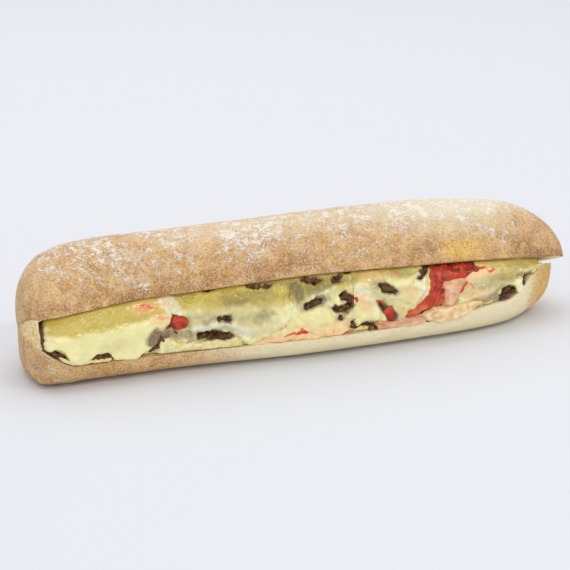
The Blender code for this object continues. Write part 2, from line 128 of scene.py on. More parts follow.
def ends(s, powers):
    """Taper of both ends, each by its own power, the left one first."""
    return np.where(s < 0.0, taper(s, powers[0]), taper(s, powers[1]))


def skin_relief(x, u):
    """Long shallow waves of the crust, in mm."""
    a = np.sin(x / 17.0 + 2.0 * np.sin(2.0 * u)) + np.sin(x / 29.0 + 3.1 * u)
    b = np.sin(x / 9.5 - 4.0 * u + 1.3)
    return -0.55 + 0.2 * a + 0.12 * b


def roll_point(s, u):
    """Skin of the closed roll: s along it, u round it from the back over the top."""
    c = np.cos(u)
    sn = np.sin(u)
    front = ends(s, FRONT_TAPER)
    back = ends(s, (5.9, 5.0))
    high = np.where(s < 0.0, taper(s, 11.0), taper(s, 6.9, 1.9))
    low_power = 0.62 - 0.24 * smooth((-s - 0.75) / 0.2)
    low_round = 0.5 - 0.3 * smooth((-s - 0.75) / 0.2)
    across = np.sign(c) * np.abs(c) ** np.where(sn >= 0.0, 0.84, low_power)
    upward = np.where(sn >= 0.0, np.abs(sn) ** 0.92, -np.abs(sn) ** 0.62)
    x = HALF_LENGTH * s
    rough = np.stack([x, 40.0 * c, 40.0 * sn], axis=-1)
    relief = skin_relief(x, u) + 0.30 * (bumps(rough, 8.0, 1.0, 5) - 0.9)
    half = HALF_WIDTH + relief + np.where(c < 0.0, along(s, FRONT_BULGE), 0.0)
    y = half * across * np.where(c > 0.0, back, front)
    dome = (DOME + relief + along(s, DOME_BULGE)) * high
    z = WAIST + upward * np.where(upward >= 0.0, dome, (WAIST + 1.0) * high ** low_round)
    x = x * 0.9985 + END_SKEW * (y / HALF_WIDTH) * np.clip(-s, 0.0, 1.0) ** 3
    return x, y, np.maximum(z, 0.0)


def cut_height(y):
    """Height of the cut in the closed roll, lower at the front than at the hinge."""
    run = (np.asarray(y, float) + HALF_WIDTH) / (HINGE_Y + HALF_WIDTH)
    return CUT_FRONT + (HINGE_Z - CUT_FRONT) * np.clip(run, -0.5, 1.0)


def full_angle(x):
    """How far the upper half is swung open at x, in radians."""
    return np.radians(OPEN_DEG + along(np.clip(x / HALF_LENGTH, -1.0, 1.0), EXTRA_OPEN_DEG))


def rim_rise(x):
    """How far the rim of the lower half climbs near the ends, in mm."""
    left = LEFT_RISE * np.clip((-126.0 - x) / 21.0, 0.0, 1.2) ** 1.25
    right = RIGHT_RISE * smooth((x - 55.0) / 60.0) + RIGHT_TIP_RISE * smooth((x - 108.0) / 26.0)
    return left + right


def end_rise(x, y):
    """The climb of the whole cut face, kept below the upper half. A wall shuts the left end."""
    room = CLOSED * np.clip(HINGE_Y - y, 0.0, None) * np.sin(full_angle(x)) + 1e-6
    rise = rim_rise(x) * room / (rim_rise(x) ** 8 + room ** 8) ** 0.125
    wall = smooth((-142.4 - x) / 1.6) * smooth((y + 37.5) / 6.0)
    return rise + (1.05 * room / CLOSED + 1.5 - rise) * wall


def floor_height(x, y):
    """Top of the lower half once it is open."""
    return cut_height(y) + end_rise(x, y)


def lift_share(y, z):
    """1 for what swings up with the upper half, 0 for what stays, smooth behind the hinge."""
    phi = np.arctan2(z - HINGE_Z, HINGE_Y - y)
    phi = np.where(phi < -np.pi / 2, phi + 2.0 * np.pi, phi)
    share = 1.0 - smooth((phi - np.radians(110.0)) / np.radians(140.0))
    share = np.where(phi < 0.0, 0.0, share)
    return np.where(y < HINGE_Y - 0.5, (z > cut_height(y)).astype(float), share)


def opened(x, y, z, share):
    """Swing the upper half up about the hinge line along the back."""
    s = np.clip(x / HALF_LENGTH, -1.0, 1.0)
    inner = np.clip(s, -0.999, 0.999)
    fuller = (ends(inner, LOWER_TAPER) + 0.02) / (ends(inner, FRONT_TAPER) + 0.02)
    y = np.where(y < 0.0, y * (1.0 + (fuller - 1.0) * (1.0 - share)), y)
    z = z + end_rise(x, y) * (1.0 - share) * np.clip(z / cut_height(y), 0.0, 1.0)
    angle = full_angle(x) * share
    dy = y - HINGE_Y
    dz = z - HINGE_Z
    new_x = x + TOP_REACH * share * np.clip(s, 0.0, 1.0) ** 2
    new_y = HINGE_Y + dy * np.cos(angle) + dz * np.sin(angle)
    new_z = HINGE_Z - dy * np.sin(angle) + dz * np.cos(angle)
    return new_x, new_y, new_z


def to_raw(name, bm):
    """Links a bmesh as it is, in millimetres."""
    bmesh.ops.recalc_face_normals(bm, faces=bm.faces)
    if bm.calc_volume(signed=True) < 0.0:
        bmesh.ops.reverse_faces(bm, faces=bm.faces)
    mesh = bpy.data.meshes.new(name)
    bm.to_mesh(mesh)
    bm.free()
    obj = bpy.data.objects.new(name, mesh)
    bpy.context.scene.collection.objects.link(obj)
    return obj


def bread_cutter():
    """A rough thin slab from in front of the roll to the hinge line."""
    bm = bmesh.new()
    bmesh.ops.create_grid(bm, x_segments=270, y_segments=60, size=1.0)
    middle = 0.5 * (HINGE_Y - HALF_WIDTH - CUTTER_OUTSIDE)
    reach = 0.5 * (HINGE_Y + HALF_WIDTH + CUTTER_OUTSIDE)
    lower = list(bm.verts)
    x, y, _ = points_of(lower).T
    y = middle + reach * y
    move_to(lower, np.stack([(HALF_LENGTH + 19.0) * x, y, cut_height(y)], axis=1))
    grown = bmesh.ops.extrude_face_region(bm, geom=list(bm.faces))
    upper = [item for item in grown["geom"] if isinstance(item, bmesh.types.BMVert)]
    for side, verts in ((-1.0, lower), (1.0, upper)):
        points = points_of(verts)
        rough = 0.16 * bumps(points, 3.0, 3.5 + side, 3) * smooth((HINGE_Y - points[:, 1]) / 4.0)
        for vert, step in zip(verts, rough):
            vert.co.z += side * SLIT / 2 + step
    return to_raw("bread_cutter", bm)


def mesh_points(mesh):
    """The places of a mesh's vertices as an array."""
    points = np.empty(len(mesh.vertices) * 3)
    mesh.vertices.foreach_get("co", points)
    return points.reshape(-1, 3)


def to_model_frame(mesh, points):
    """Gives the mesh its points, from millimetres to the model's own frame in metres."""
    mesh.vertices.foreach_set("co", ((points - CENTRE) * MM).ravel())
    mesh.shade_smooth()


def set_mask(mesh, name, values):
    """Lays a mask on the mesh's points, which a material reads by its name."""
    layer = mesh.attributes.new(name, "FLOAT", "POINT")
    layer.data.foreach_set("value", np.asarray(values, dtype=np.float32))


def linear(hex_code):
    """Linear light of an sRGB colour that is given as six hex digits."""
    channels = [int(hex_code[i:i + 2], 16) / 255.0 for i in (0, 2, 4)]
    return [c / 12.92 if c <= 0.04045 else ((c + 0.055) / 1.055) ** 2.4 for c in channels] + [1.0]


def new_material(name):
    """An empty material, and its node tree."""
    material = bpy.data.materials.new(name)
    material.use_nodes = True
    return material, material.node_tree


def add(tree, kind, inputs=None, output=0, **settings):
    """Adds a node with its settings and links, and returns one of its outputs. An input is a
    number, a hex colour or the output of another node."""
    node = tree.nodes.new("ShaderNode" + kind)
    for key, value in settings.items():
        setattr(node, key, value)
    for key, value in (inputs or {}).items():
        if isinstance(value, bpy.types.NodeSocket):
            tree.links.new(value, node.inputs[key])
        else:
            node.inputs[key].default_value = linear(value) if isinstance(value, str) else value
    return node.outputs[output]


def speckle(tree, size_mm, detail=2.0, rough=0.5):
    """Noise in the object's own space with features of the given size."""
    place = add(tree, "TexCoord", None, "Object")
    values = {"Vector": place, "Scale": 1.0 / (MM * size_mm), "Detail": detail, "Roughness": rough}
    return add(tree, "TexNoise", values)


def lay_on(tree, under, over, mask, span=None, *strengths):
    """Lays a colour on another where a mask shows it. The span of the mask is stretched to
    0 to 1, and each strength then weakens it. Sockets 6, 7 and 2 are a Mix node's colours."""
    if span:
        values = {"Value": mask, "From Min": span[0], "From Max": span[1]}
        mask = add(tree, "MapRange", values, interpolation_type="SMOOTHSTEP")
    for strength in strengths:
        mask = add(tree, "Math", {0: mask, 1: strength}, operation="MULTIPLY")
    return add(tree, "Mix", {0: mask, 6: under, 7: over}, 2, data_type="RGBA")


def finish(tree, colour, height, depth_mm, strength, values):
    """Gives a surface its colour, its fine relief and the settings that are the same all over."""
    shader = tree.nodes["Principled BSDF"]
    relief = add(tree, "Bump", {"Height": height, "Distance": depth_mm * MM, "Strength": strength})
    tree.links.new(colour, shader.inputs["Base Color"])
    tree.links.new(relief, shader.inputs["Normal"])
    for key, value in values.items():
        shader.inputs[key].default_value = value


def crust_material():
    """Baked crust: dry and matt, tan with browner mottling toward the mouth, under flour in
    clustered specks that catch the light. The torn crumb at the left end is pale yellow."""
    material, tree = new_material("baked_crust_with_flour")
    names = ("pale", "gold", "bake", "grainy", "dust", "torn")
    masks = [add(tree, "Attribute", None, "Fac", attribute_name=name) for name in names]
    pale, gold, bake, grainy, cover, torn = masks
    blotch = speckle(tree, 8.0, 4.0, 0.62)
    fine = speckle(tree, 0.85, 2.0, 0.6)
    grit = speckle(tree, 1.3, 2.0, 0.6)
    pores = speckle(tree, 1.9, 3.0, 0.6)
    colour = lay_on(tree, "dfb67c", "c8965a", blotch, (0.36, 0.64))
    colour = lay_on(tree, colour, "f6eac2", pale)
    colour = lay_on(tree, colour, "f4c054", gold, None, 0.95)
    colour = lay_on(tree, colour, "9c6736", blotch, (0.25, 0.62), bake)
    colour = lay_on(tree, colour, "9a6632", grit, (0.5, 0.66), grainy, 0.6)
    colour = lay_on(tree, colour, "f2e0bf", fine, (0.5, 0.62), grainy, 0.45)
    for size, detail, rough, weight in FLOUR_CLUSTERS:
        part = speckle(tree, size, detail, rough)
        cover = add(tree, "Math", {0: part, 1: weight, 2: cover}, operation="MULTIPLY_ADD")
    values = {"Value": cover, "From Min": 1.40, "From Max": 1.66}
    flour = add(tree, "MapRange", values, interpolation_type="SMOOTHSTEP")
    colour = lay_on(tree, colour, "f4eadb", flour, None, 0.82)
    colour = lay_on(tree, colour, lay_on(tree, "e9c47f", "f9e6b4", pores, (0.35, 0.65)), torn)
    rough = add(tree, "Math", {0: grit, 1: flour}, operation="ADD")
    height = add(tree, "Math", {0: fine, 1: 0.6, 2: rough}, operation="MULTIPLY_ADD")
    finish(tree, colour, height, 0.4, 0.8, {"Roughness": 0.78, "Specular IOR Level": 0.28})
    return material


def crumb_material():
    """Pale bread inside, with fine pores that are painted darker at their middles as shade. Its edge takes
    the colour of the crust.
    """
    material, tree = new_material("bread_crumb")
    pale = add(tree, "Attribute", None, "Fac", attribute_name="pale")
    edge = add(tree, "Attribute", None, "Fac", attribute_name="edge")
    place = add(tree, "TexCoord", None, "Object")
    pores = add(tree, "TexVoronoi", {"Vector": place, "Scale": 1.0 / (MM * 2.2)}, "Distance")
    patch = speckle(tree, 6.0, 3.0)
    colour = lay_on(tree, "e8d39c", "f3e7c4", patch, (0.3, 0.7))
    # Darker toward the middle of each pore: painted shade in the pits.
    colour = lay_on(tree, colour, "c9a566", pores, (0.28, 0.05))
    rind = lay_on(tree, "b98a52", "d3aa70", patch, (0.3, 0.7))
    rind = lay_on(tree, rind, "f6eac2", pale)
    colour = lay_on(tree, colour, rind, edge)
    finish(tree, colour, pores, 0.8, 0.6, {"Roughness": 0.85, "Specular IOR Level": 0.2})
    return material


def paint_bread(mesh, points):
    """Lays the masks of the bread from each point's place on the closed roll."""
    x, y, z = points.T
    above = z - cut_height(y)
    upper = smooth(above / 0.4 + 0.5)
    lower = 1.0 - upper
    front = smooth((6.0 - y) / 24.0)
    patchy = 0.75 + 0.6 * bumps(points, 20.0, 3.0)
    near_mouth = front * smooth(1.0 - above / 15.0)
    left_side = 0.40 + 0.60 * smooth((30.0 - x) / 80.0)
    bake = upper * near_mouth * left_side + lower * 0.2 * smooth((-95.0 - x) / 30.0)
    bake = bake + lower * 0.15 * smooth((x - 126.0) / 14.0)
    bake = bake + 1.7 * upper * front * smooth((x - 104.0) / 16.0) * smooth(1.2 - above / 5.0)
    for middle, strength, size in BROWN_SPOTS:
        spot = smooth(1.3 - np.hypot((x - middle) / size, (above - 9.0) / 6.0))
        bake = bake + upper * front * strength * spot
    set_mask(mesh, "bake", np.clip(bake * patchy, 0.0, 1.0))
    pale = lower * smooth((x + 85.0) / 65.0) * smooth((136.0 - x) / 18.0) * smooth(1.2 - y / 30.0)
    high_right = smooth((x - 30.0) / 50.0) * smooth((above - 10.0) / 10.0) * smooth((120.0 - x) / 20.0)
    high_top = smooth((above - 19.0) / 12.0) * smooth((x + 100.0) / 60.0)
    pale = pale + upper * (0.4 * high_right + 0.12 * smooth((-128.0 - x) / 14.0) + 0.45 * high_top)
    set_mask(mesh, "pale", np.clip(pale, 0.0, 0.92))
    gold = smooth(1.5 - np.hypot((x - 84.0) / 13.0, (above - 7.0) / 6.0))
    gold = upper * front * gold * np.clip(patchy, 0.3, 1.0)
    set_mask(mesh, "gold", gold + 0.5 * lower * smooth((x - 122.0) / 10.0))
    top = smooth((z - 22.0) / 24.0)
    dust = 0.15 * top * (0.7 + 0.3 * smooth((x + 20.0) / 80.0)) + 0.05 - 0.12 * near_mouth
    dust = dust - 0.03 * smooth((x - 96.0) / 26.0) - 0.04 * smooth((-110.0 - x) / 25.0) - 0.25 * gold
    set_mask(mesh, "dust", upper * dust + lower * (0.10 * smooth((-100.0 - x) / 30.0) - 0.12))
    set_mask(mesh, "grainy", np.clip(1.0 - 0.8 * pale, 0.0, 1.0))
    s = x / HALF_LENGTH
    rim = (HALF_WIDTH + along(s, FRONT_BULGE)) * ends(np.clip(s, -1.0, 1.0), FRONT_TAPER)
    set_mask(mesh, "edge", smooth((3.6 - (y + rim)) / 1.6) * smooth((138.0 - np.abs(x)) / 5.0))


def make_bread():
    """The closed roll is cut and painted first, so that the masks follow it, and then opened."""
    bm = bmesh.new()
    bmesh.ops.create_uvsphere(bm, u_segments=180, v_segments=310, radius=1.0)
    x, y, z = points_of(bm.verts).T
    move_to(bm.verts, np.stack(roll_point(np.clip(z, -1.0, 1.0), np.arctan2(y, x)), axis=1))
    bread = to_raw("bread_loaf", bm)
    cutter = bread_cutter()
    bread.data.materials.append(crust_material())
    cutter.data.materials.append(crumb_material())
    modifier = bread.modifiers.new("Cut", "BOOLEAN")
    modifier.operation = "DIFFERENCE"
    modifier.solver = "EXACT"
    modifier.material_mode = "TRANSFER"
    modifier.object = cutter
    bpy.context.view_layer.objects.active = bread
    bpy.ops.object.modifier_apply(modifier="Cut")
    bpy.data.objects.remove(cutter)
    mesh = bread.data
    points = mesh_points(mesh)
    paint_bread(mesh, points)
    x, y, z = points.T
    share = lift_share(y, z)
    moved = np.stack(opened(x, y, z, share), axis=1)
    line = cut_height(moved[:, 1]) + rim_rise(np.maximum(moved[:, 0], -146.5))
    torn = (1.0 - share) * smooth((moved[:, 2] - line) / 1.2) * smooth((-139.0 - moved[:, 0]) / 4.0)
    torn = torn * smooth((18.0 - moved[:, 1]) / 10.0)
    moved[:, 0] += torn * (1.3 + 0.5 * bumps(moved, 3.0, 9.0, 2))
    set_mask(mesh, "torn", torn)
    to_model_frame(mesh, moved)
    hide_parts("bread")
    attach(bread, "root")


make_bread()

# Melted cheese
# Five slices that have melted over the beef and into each other: greenish yellow near the upper
# half, darkened there by painted shade from that half, cream below, thin and grey over the beef,
# and stained by the sauce. Greenish painted shade lies under the upper half's edge and in creases,
# and pale painted highlights lie along the fold ridges. The stains, the painted light and the
# folds run on from one slice to the next.

# The filling in mm: where it ends toward the hinge, the room that it needs there, how far
# forward a sheet may reach, and the usual height of its outer face.
BACK_Y = 8.0
STACK = 7.4
FRONT_LIMIT = -39.3
FACE_HEIGHT = 31.0


def front_point(x, phi):
    """The filling's outer face from the upper half, at phi 0, to its foot on the lower half."""
    s = np.clip(x / HALF_LENGTH, -1.0, 1.0)
    angle = full_angle(x)
    half = HALF_WIDTH - 0.5 + along(s, FRONT_BULGE)
    edge = -half * ends(s, FRONT_TAPER)
    rim = -half * ends(s, LOWER_TAPER)
    dy = edge + 3.5 - HINGE_Y
    dz = cut_height(edge + 3.5) - 0.3 - HINGE_Z
    top_y = HINGE_Y + dy * np.cos(angle) + dz * np.sin(angle)
    top_z = HINGE_Z - dy * np.sin(angle) + dz * np.cos(angle)
    foot_y = rim + 0.5
    foot_z = floor_height(x, foot_y)
    y = top_y + (foot_y - top_y) * np.sin(phi) ** 0.95
    z = foot_z + (top_z - foot_z) * np.cos(phi) ** 0.85
    return y, z, angle


def arc_of(x):
    """Lengths along the face at x, with the angles that they belong to."""
    phi = np.linspace(0.0, np.pi / 2 - 1e-6, 160)
    y, z, _ = front_point(np.full(160, float(x)), phi)
    return np.concatenate(([0.0], np.cumsum(np.hypot(np.diff(y), np.diff(z))))), phi


ARC_RUN, ARC_PHI = arc_of(0.0)
ARC_X = np.linspace(-142.0, 142.0, 72)
ARC_LENGTH = np.array([arc_of(x)[0][-1] for x in ARC_X])


def arc(x):
    """Length in mm of the front face from u 0 to 1."""
    return np.interp(x, ARC_X, ARC_LENGTH)


def back_line(x, top_y):
    """Where the filling ends toward the hinge: further forward where the roll closes."""
    limit = HINGE_Y - (STACK + rim_rise(x)) / np.sin(full_angle(x))
    return np.clip(limit, top_y + 3.0, BACK_Y)


def outline_point(x, u):
    """The filling is laid out in x along the loaf and u over its outer face: u is below 0
    under the upper half, 0 where that half ends and 1 at the foot on the lower half."""
    phi = np.interp(u, ARC_RUN / ARC_RUN[-1], ARC_PHI)
    y, z, angle = front_point(x, phi)
    run = np.clip(-u, 0.0, None) * (back_line(x, y) - y) / np.cos(angle)
    hang = np.clip(u - 1.0, 0.0, None) * arc(x)
    return y + run * np.cos(angle), z - run * np.sin(angle) - hang


def place(x, u, n):
    """The point at x and u that lies n mm outside the face."""
    y, z = outline_point(x, u)
    ya, za = outline_point(x, np.clip(u - 0.05, -1.2, 0.97))
    yb, zb = outline_point(x, np.clip(u + 0.05, -1.2, 0.999))
    size = np.hypot(yb - ya, zb - za)
    return np.stack([x, y + n * (zb - za) / size, z - n * (yb - ya) / size], axis=-1)


def curve(*pairs):
    """Straight steps through (u, x) pairs."""
    us = [pair[0] for pair in pairs]
    xs = [pair[1] for pair in pairs]
    return lambda u: np.interp(u, us, xs)


def soft_curve(*pairs):
    """Smooth steps through (a, value) pairs."""
    def value(a):
        out = np.zeros_like(np.asarray(a, float)) + pairs[0][1]
        for (a0, v0), (a1, v1) in zip(pairs, pairs[1:]):
            out = out + (v1 - v0) * smooth((a - a0) / (a1 - a0))
        return out
    return value


def soft_min(a, b, k=1.2):
    """The lower of two distances, with a round corner where they meet."""
    h = np.clip(0.5 + 0.5 * (b - a) / k, 0.0, 1.0)
    return b * (1.0 - h) + a * h - k * h * (1.0 - h)


def near(x, u, points):
    """Distance in mm to a line through (x, u) points."""
    tall = arc(x)
    best = np.full_like(x, 99.0)
    for (x0, u0), (x1, u1) in zip(points, points[1:] or points):
        run = x1 - x0
        rise = (u1 - u0) * tall
        t = ((x - x0) * run + (u - u0) * tall * rise) / (run * run + rise * rise + 1e-6)
        t = np.clip(t, 0.0, 1.0)
        best = np.minimum(best, np.hypot(x - x0 - t * run, (u - u0) * tall - t * rise))
    return best


def strokes(x, u, lines, soft):
    """Union of soft strokes, each (half width in mm, strength, (x, u), (x, u), ...)."""
    out = np.zeros_like(x)
    for half, strength, *points in lines:
        reach = smooth(0.5 + (half - near(x, u, points)) / (2.0 * soft))
        out = np.where(abs(strength) * reach > np.abs(out), strength * reach, out)
    return out


def flat_noise(x, u, size, seed, octaves=2):
    """Noise over the face, as if it were laid flat."""
    return bumps(np.stack([x, u * FACE_HEIGHT, np.zeros_like(x)], axis=-1), size, seed, octaves)


def warped(x, u, seed, amount=1.2, size=6.0):
    """x and u pushed about by noise, so that no edge is a clean curve."""
    shift_x = amount * flat_noise(x, u, size, seed)
    shift_u = amount * flat_noise(x, u, size, seed + 3.0) / FACE_HEIGHT
    return x + shift_x, u + shift_u


def to_object(name, bm):
    """Links a finished bmesh whose points are in millimetres."""
    obj = to_raw(name, bm)
    to_model_frame(obj.data, mesh_points(obj.data))
    return obj


def grid_object(name, points, keep):
    """Mesh of a grid of points, only the cells whose corners are all kept."""
    bm = bmesh.new()
    count = points.shape[1]
    verts = {}
    used = keep[:-1, :-1] & keep[1:, :-1] & keep[1:, 1:] & keep[:-1, 1:]
    for i, j in zip(*np.nonzero(used)):
        quad = []
        for a, b in ((i, j), (i + 1, j), (i + 1, j + 1), (i, j + 1)):
            key = a * count + b
            if key not in verts:
                verts[key] = bm.verts.new(points[a, b])
            quad.append(verts[key])
        bm.faces.new(quad)
    order = np.array(list(verts.keys()))
    obj = to_object(name, bm)
    fix_facing(obj)
    return obj, order


def sheet(name, x_range, u_top, inside, relief, step=0.42, radius=1.5, thick=1.5):
    """A soft-edged sheet on the outline. inside(x, u) gives the distance in mm to its free edge,
    which is rounded down, and to a side where it melts into its neighbour and sinks a little."""
    xs = np.arange(x_range[0], x_range[1] + step, step)
    us = np.arange(0.0, 1.13, step / FACE_HEIGHT)
    if u_top < 0.0:
        us = np.concatenate((np.linspace(u_top, 0.0, 20)[:-1], us))
    else:
        us = us[us >= u_top - 0.06]
    x, u = np.meshgrid(xs, us, indexing="ij")
    free, joined = inside(x, u)
    rim = 1.0 - np.clip(free / radius, 0.0, 1.0)
    n = relief(x, u) - thick * (1.0 - np.sqrt(np.clip(1.0 - rim * rim, 0.0, 1.0)))
    n = n - 0.9 * smooth(1.0 - joined / 3.0) + 0.7 * smooth(1.0 - np.clip(u, 0.0, 1.0) / 0.12)
    n = np.where(free < 0.0, n + 1.3 * free, n)
    points = place(x, u, n)
    points[..., 1] = np.maximum(points[..., 1], FRONT_LIMIT)
    obj, order = grid_object(name, points, (free > -1.3) & (joined > 0.0))
    return obj, x.ravel()[order], u.ravel()[order], free.ravel()[order]


def fix_facing(obj):
    """Turns a sheet's faces toward the open front and up."""
    mesh = obj.data
    normals = np.empty(len(mesh.polygons) * 3)
    mesh.polygons.foreach_get("normal", normals)
    if (normals.reshape(-1, 3) @ np.array([0.0, -1.0, 0.4])).sum() < 0.0:
        mesh.flip_normals()


def dress(obj, node, material):
    """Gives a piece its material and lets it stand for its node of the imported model."""
    obj.data.materials.append(material)
    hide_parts(node)
    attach(obj, "root")


# How far down the darker yellow reaches, as u at each x: the cheese's own yellow with painted
# shade from the upper half in it. Then the stains, the painted shade and painted highlights, and the
# folds, each with its half width in mm, its strength or its height in mm, and its points in x and u.
YELLOW_AND_SHADE_TO = ((-142, -112, -84, -72, -50, -20, -12, 20, 60, 80, 100, 112, 138),
             (0.40, 0.44, 0.38, 0.30, 0.38, 0.42, 0.36, 0.24, 0.16, 0.24, 0.40, 0.62, 0.70))
# Olive: mostly painted shade under the upper half's edge and in creases, partly a greener tint of the
# cheese.
OLIVE_AND_SHADE = (
    (2.6, 0.7, (-6.0, 0.25), (6.0, 0.22)), (2.2, 0.5, (8.0, 0.14), (20.0, 0.14)),
    (4.5, 0.28, (84.0, 0.55), (100.0, 0.55)), (2.4, 0.4, (40.0, 0.10), (52.0, 0.12)),
    (5.0, 0.22, (-66.0, 0.50), (-30.0, 0.46)), (3.0, 0.3, (98.0, 0.36), (116.0, 0.40)),
    (3.6, 0.95, (-12.0, 0.14), (-10.5, 0.30)), (3.0, 0.6, (-8.0, 0.20), (4.0, 0.18)),
    (1.8, 0.6, (-34.0, 0.03), (-14.0, 0.06)), (1.8, 0.5, (22.0, 0.03), (50.0, 0.03)),
    (3.6, 0.4, (-48.0, 0.20), (-26.0, 0.24)), (2.4, 0.5, (4.0, 0.10), (18.0, 0.12)),
    (1.6, 0.4, (-77.0, 0.03), (-66.0, 0.04)), (2.0, 0.35, (30.0, 0.20), (36.0, 0.24)),
    (1.6, 0.4, (112.0, 0.20), (124.0, 0.24)),
)
HAZE = (
    (4.0, 0.3, (34.0, 0.42), (38.0, 0.58), (45.0, 0.82)), (6.0, 0.20, (-68.0, 0.56), (-26.0, 0.68)),
    (5.0, 0.20, (24.0, 0.42), (54.0, 0.50)), (5.0, 0.22, (84.0, 0.52), (108.0, 0.48)),
    (3.0, 1.0, (-87.0, 0.74), (-84.5, 0.64), (-81.0, 0.70), (-84.5, 0.80)),
    (1.4, 0.8, (-80.5, 0.64), (-79.4, 0.58)), (2.8, 0.9, (-81.0, 0.76), (-78.0, 0.64)),
    (2.6, 0.7, (-76.0, 0.66), (-68.0, 0.72)), (1.8, 0.5, (-67.0, 0.80), (-60.0, 0.84)),
    (3.6, 0.52, (-32.0, 0.59), (-29.0, 0.56)), (1.2, 0.75, (-24.6, 0.53)),
    (1.6, 0.55, (-60.0, 0.54), (-53.0, 0.50)), (2.4, 0.5, (-60.0, 0.83), (-44.0, 0.86)),
    (2.4, 0.5, (-9.0, 0.50), (4.0, 0.40)), (1.6, 0.4, (6.0, 0.55), (18.0, 0.62)),
    (1.6, 0.7, (9.5, 0.73)), (2.0, 0.5, (15.5, 0.80), (19.0, 0.88)),
    (2.6, 0.5, (31.0, 0.27), (43.0, 0.42)), (0.8, 0.6, (35.5, 0.50), (40.0, 0.64), (43.0, 0.82)),
    (3.0, 0.75, (89.0, 0.84), (98.0, 0.79), (102.0, 0.86)), (1.6, 0.6, (100.0, 0.74), (107.0, 0.60)),
    (1.8, 0.5, (116.0, 0.46), (125.0, 0.60)), (2.4, 0.35, (86.0, 0.62), (97.0, 0.52)),
    (2.0, 0.4, (-47.0, 0.30), (-38.0, 0.28)), (3.0, 0.12, (-112.0, 0.78), (-98.0, 0.74)),
    (2.4, 0.25, (-38.0, 0.78), (-30.0, 0.86)),
)
PINK = (
    (2.6, 0.75, (-85.0, 0.40), (-79.0, 0.44)), (3.0, 0.8, (-31.0, 0.99), (-12.0, 0.95), (18.0, 0.97)),
    (2.2, 0.5, (-16.0, 0.82), (6.0, 0.84)), (3.0, 0.45, (9.0, 0.78), (14.0, 0.82)),
    (3.4, 0.5, (23.0, 0.46), (26.0, 0.62)), (3.0, 0.35, (26.0, 0.14), (38.0, 0.12)),
    (3.0, 0.45, (51.0, 0.40), (55.0, 0.60)), (3.0, 0.75, (84.0, 0.34), (92.0, 0.22), (100.0, 0.14)),
    (3.2, 0.55, (84.0, 0.60), (93.0, 0.70)), (3.2, 0.45, (-93.0, 0.17), (-80.0, 0.12)),
    (1.8, 0.6, (100.0, 0.28), (104.0, 0.24)), (2.0, 0.4, (44.0, 0.66), (48.0, 0.76)),
)
RED = (
    (1.1, 0.5, (-93.0, 0.15), (-90.0, 0.14), (-86.0, 0.18)),
    (0.4, 0.75, (-90.0, 0.14), (-86.5, 0.17), (-83.0, 0.22)), (0.5, 0.4, (-92.0, 0.21), (-88.0, 0.22)),
    (0.5, 0.6, (-82.5, 0.05)), (0.8, 0.35, (-82.5, 0.37), (-78.0, 0.40)),
    (0.5, 0.9, (-19.0, 0.90), (-14.0, 0.88), (-9.0, 0.87)), (0.9, 1.0, (-12.0, 0.88), (-7.5, 0.88)),
    (0.3, 0.5, (-6.0, 0.90), (-2.0, 0.93)), (0.5, 0.9, (-10.0, 0.84), (-9.0, 0.82)),
    (0.3, 0.6, (-22.0, 0.78), (-17.5, 0.75)), (0.9, 0.9, (14.0, 0.975), (18.5, 0.965)),
    (0.4, 0.6, (7.0, 0.92), (8.0, 0.95)), (0.35, 0.6, (20.0, 0.92)),
    (0.9, 0.8, (31.5, 0.51), (34.5, 0.60)), (1.1, 0.95, (84.0, 0.38), (81.5, 0.46), (79.6, 0.55)),
    (0.9, 0.45, (44.0, 0.07), (45.5, 0.11)), (0.35, 0.7, (49.5, 0.20)),
    (0.3, 0.6, (53.6, 0.23), (53.0, 0.30)), (0.5, 0.5, (46.8, 0.68), (46.0, 0.71)),
    (0.3, 0.5, (57.5, 0.41)), (0.7, 0.8, (98.5, 0.22), (102.0, 0.18)),
    (0.9, 0.75, (92.0, 0.12), (97.0, 0.14)), (0.6, 0.5, (86.0, 0.40), (88.0, 0.52)),
    (1.0, 0.9, (20.4, 0.455), (20.7, 0.475)),
)
# White: pale strands and lumps of cheese, and painted highlights along the ridges of the folds.
WHITE_AND_HIGHLIGHT = (
    (1.7, 0.95, (-66.0, 0.64), (-58.0, 0.62), (-50.0, 0.61), (-45.0, 0.645)),
    (0.5, 0.7, (-14.5, 0.42), (-16.5, 0.60), (-19.5, 0.70), (-29.0, 0.89)),
    (3.0, 0.7, (-44.0, 0.72), (-38.0, 0.80)), (0.8, 0.7, (-3.0, 0.35), (3.0, 0.31), (9.0, 0.25)),
    (0.7, 0.95, (3.0, 0.44), (7.0, 0.53), (10.0, 0.57)), (2.6, 0.7, (23.0, 0.30), (26.0, 0.40)),
    (2.0, 0.6, (28.0, 0.50), (34.0, 0.60), (41.0, 0.84)),
    (1.8, 0.7, (57.5, 0.20), (58.5, 0.45), (54.0, 0.66)), (2.4, 0.6, (29.5, 0.70)),
    (1.6, 0.6, (-77.5, 0.46), (-75.0, 0.44)), (4.0, 0.6, (-77.5, 0.10), (-74.0, 0.30)),
    (0.5, 0.7, (99.0, 0.62), (93.5, 0.78)), (1.3, 0.6, (115.5, 0.55), (117.2, 0.95)),
    (1.0, 0.5, (-138.8, 0.15), (-138.4, 0.80)), (1.6, 0.6, (-74.0, 0.80), (-66.0, 0.86)),
    (0.7, 0.6, (118.0, 0.36), (127.0, 0.42)),
)
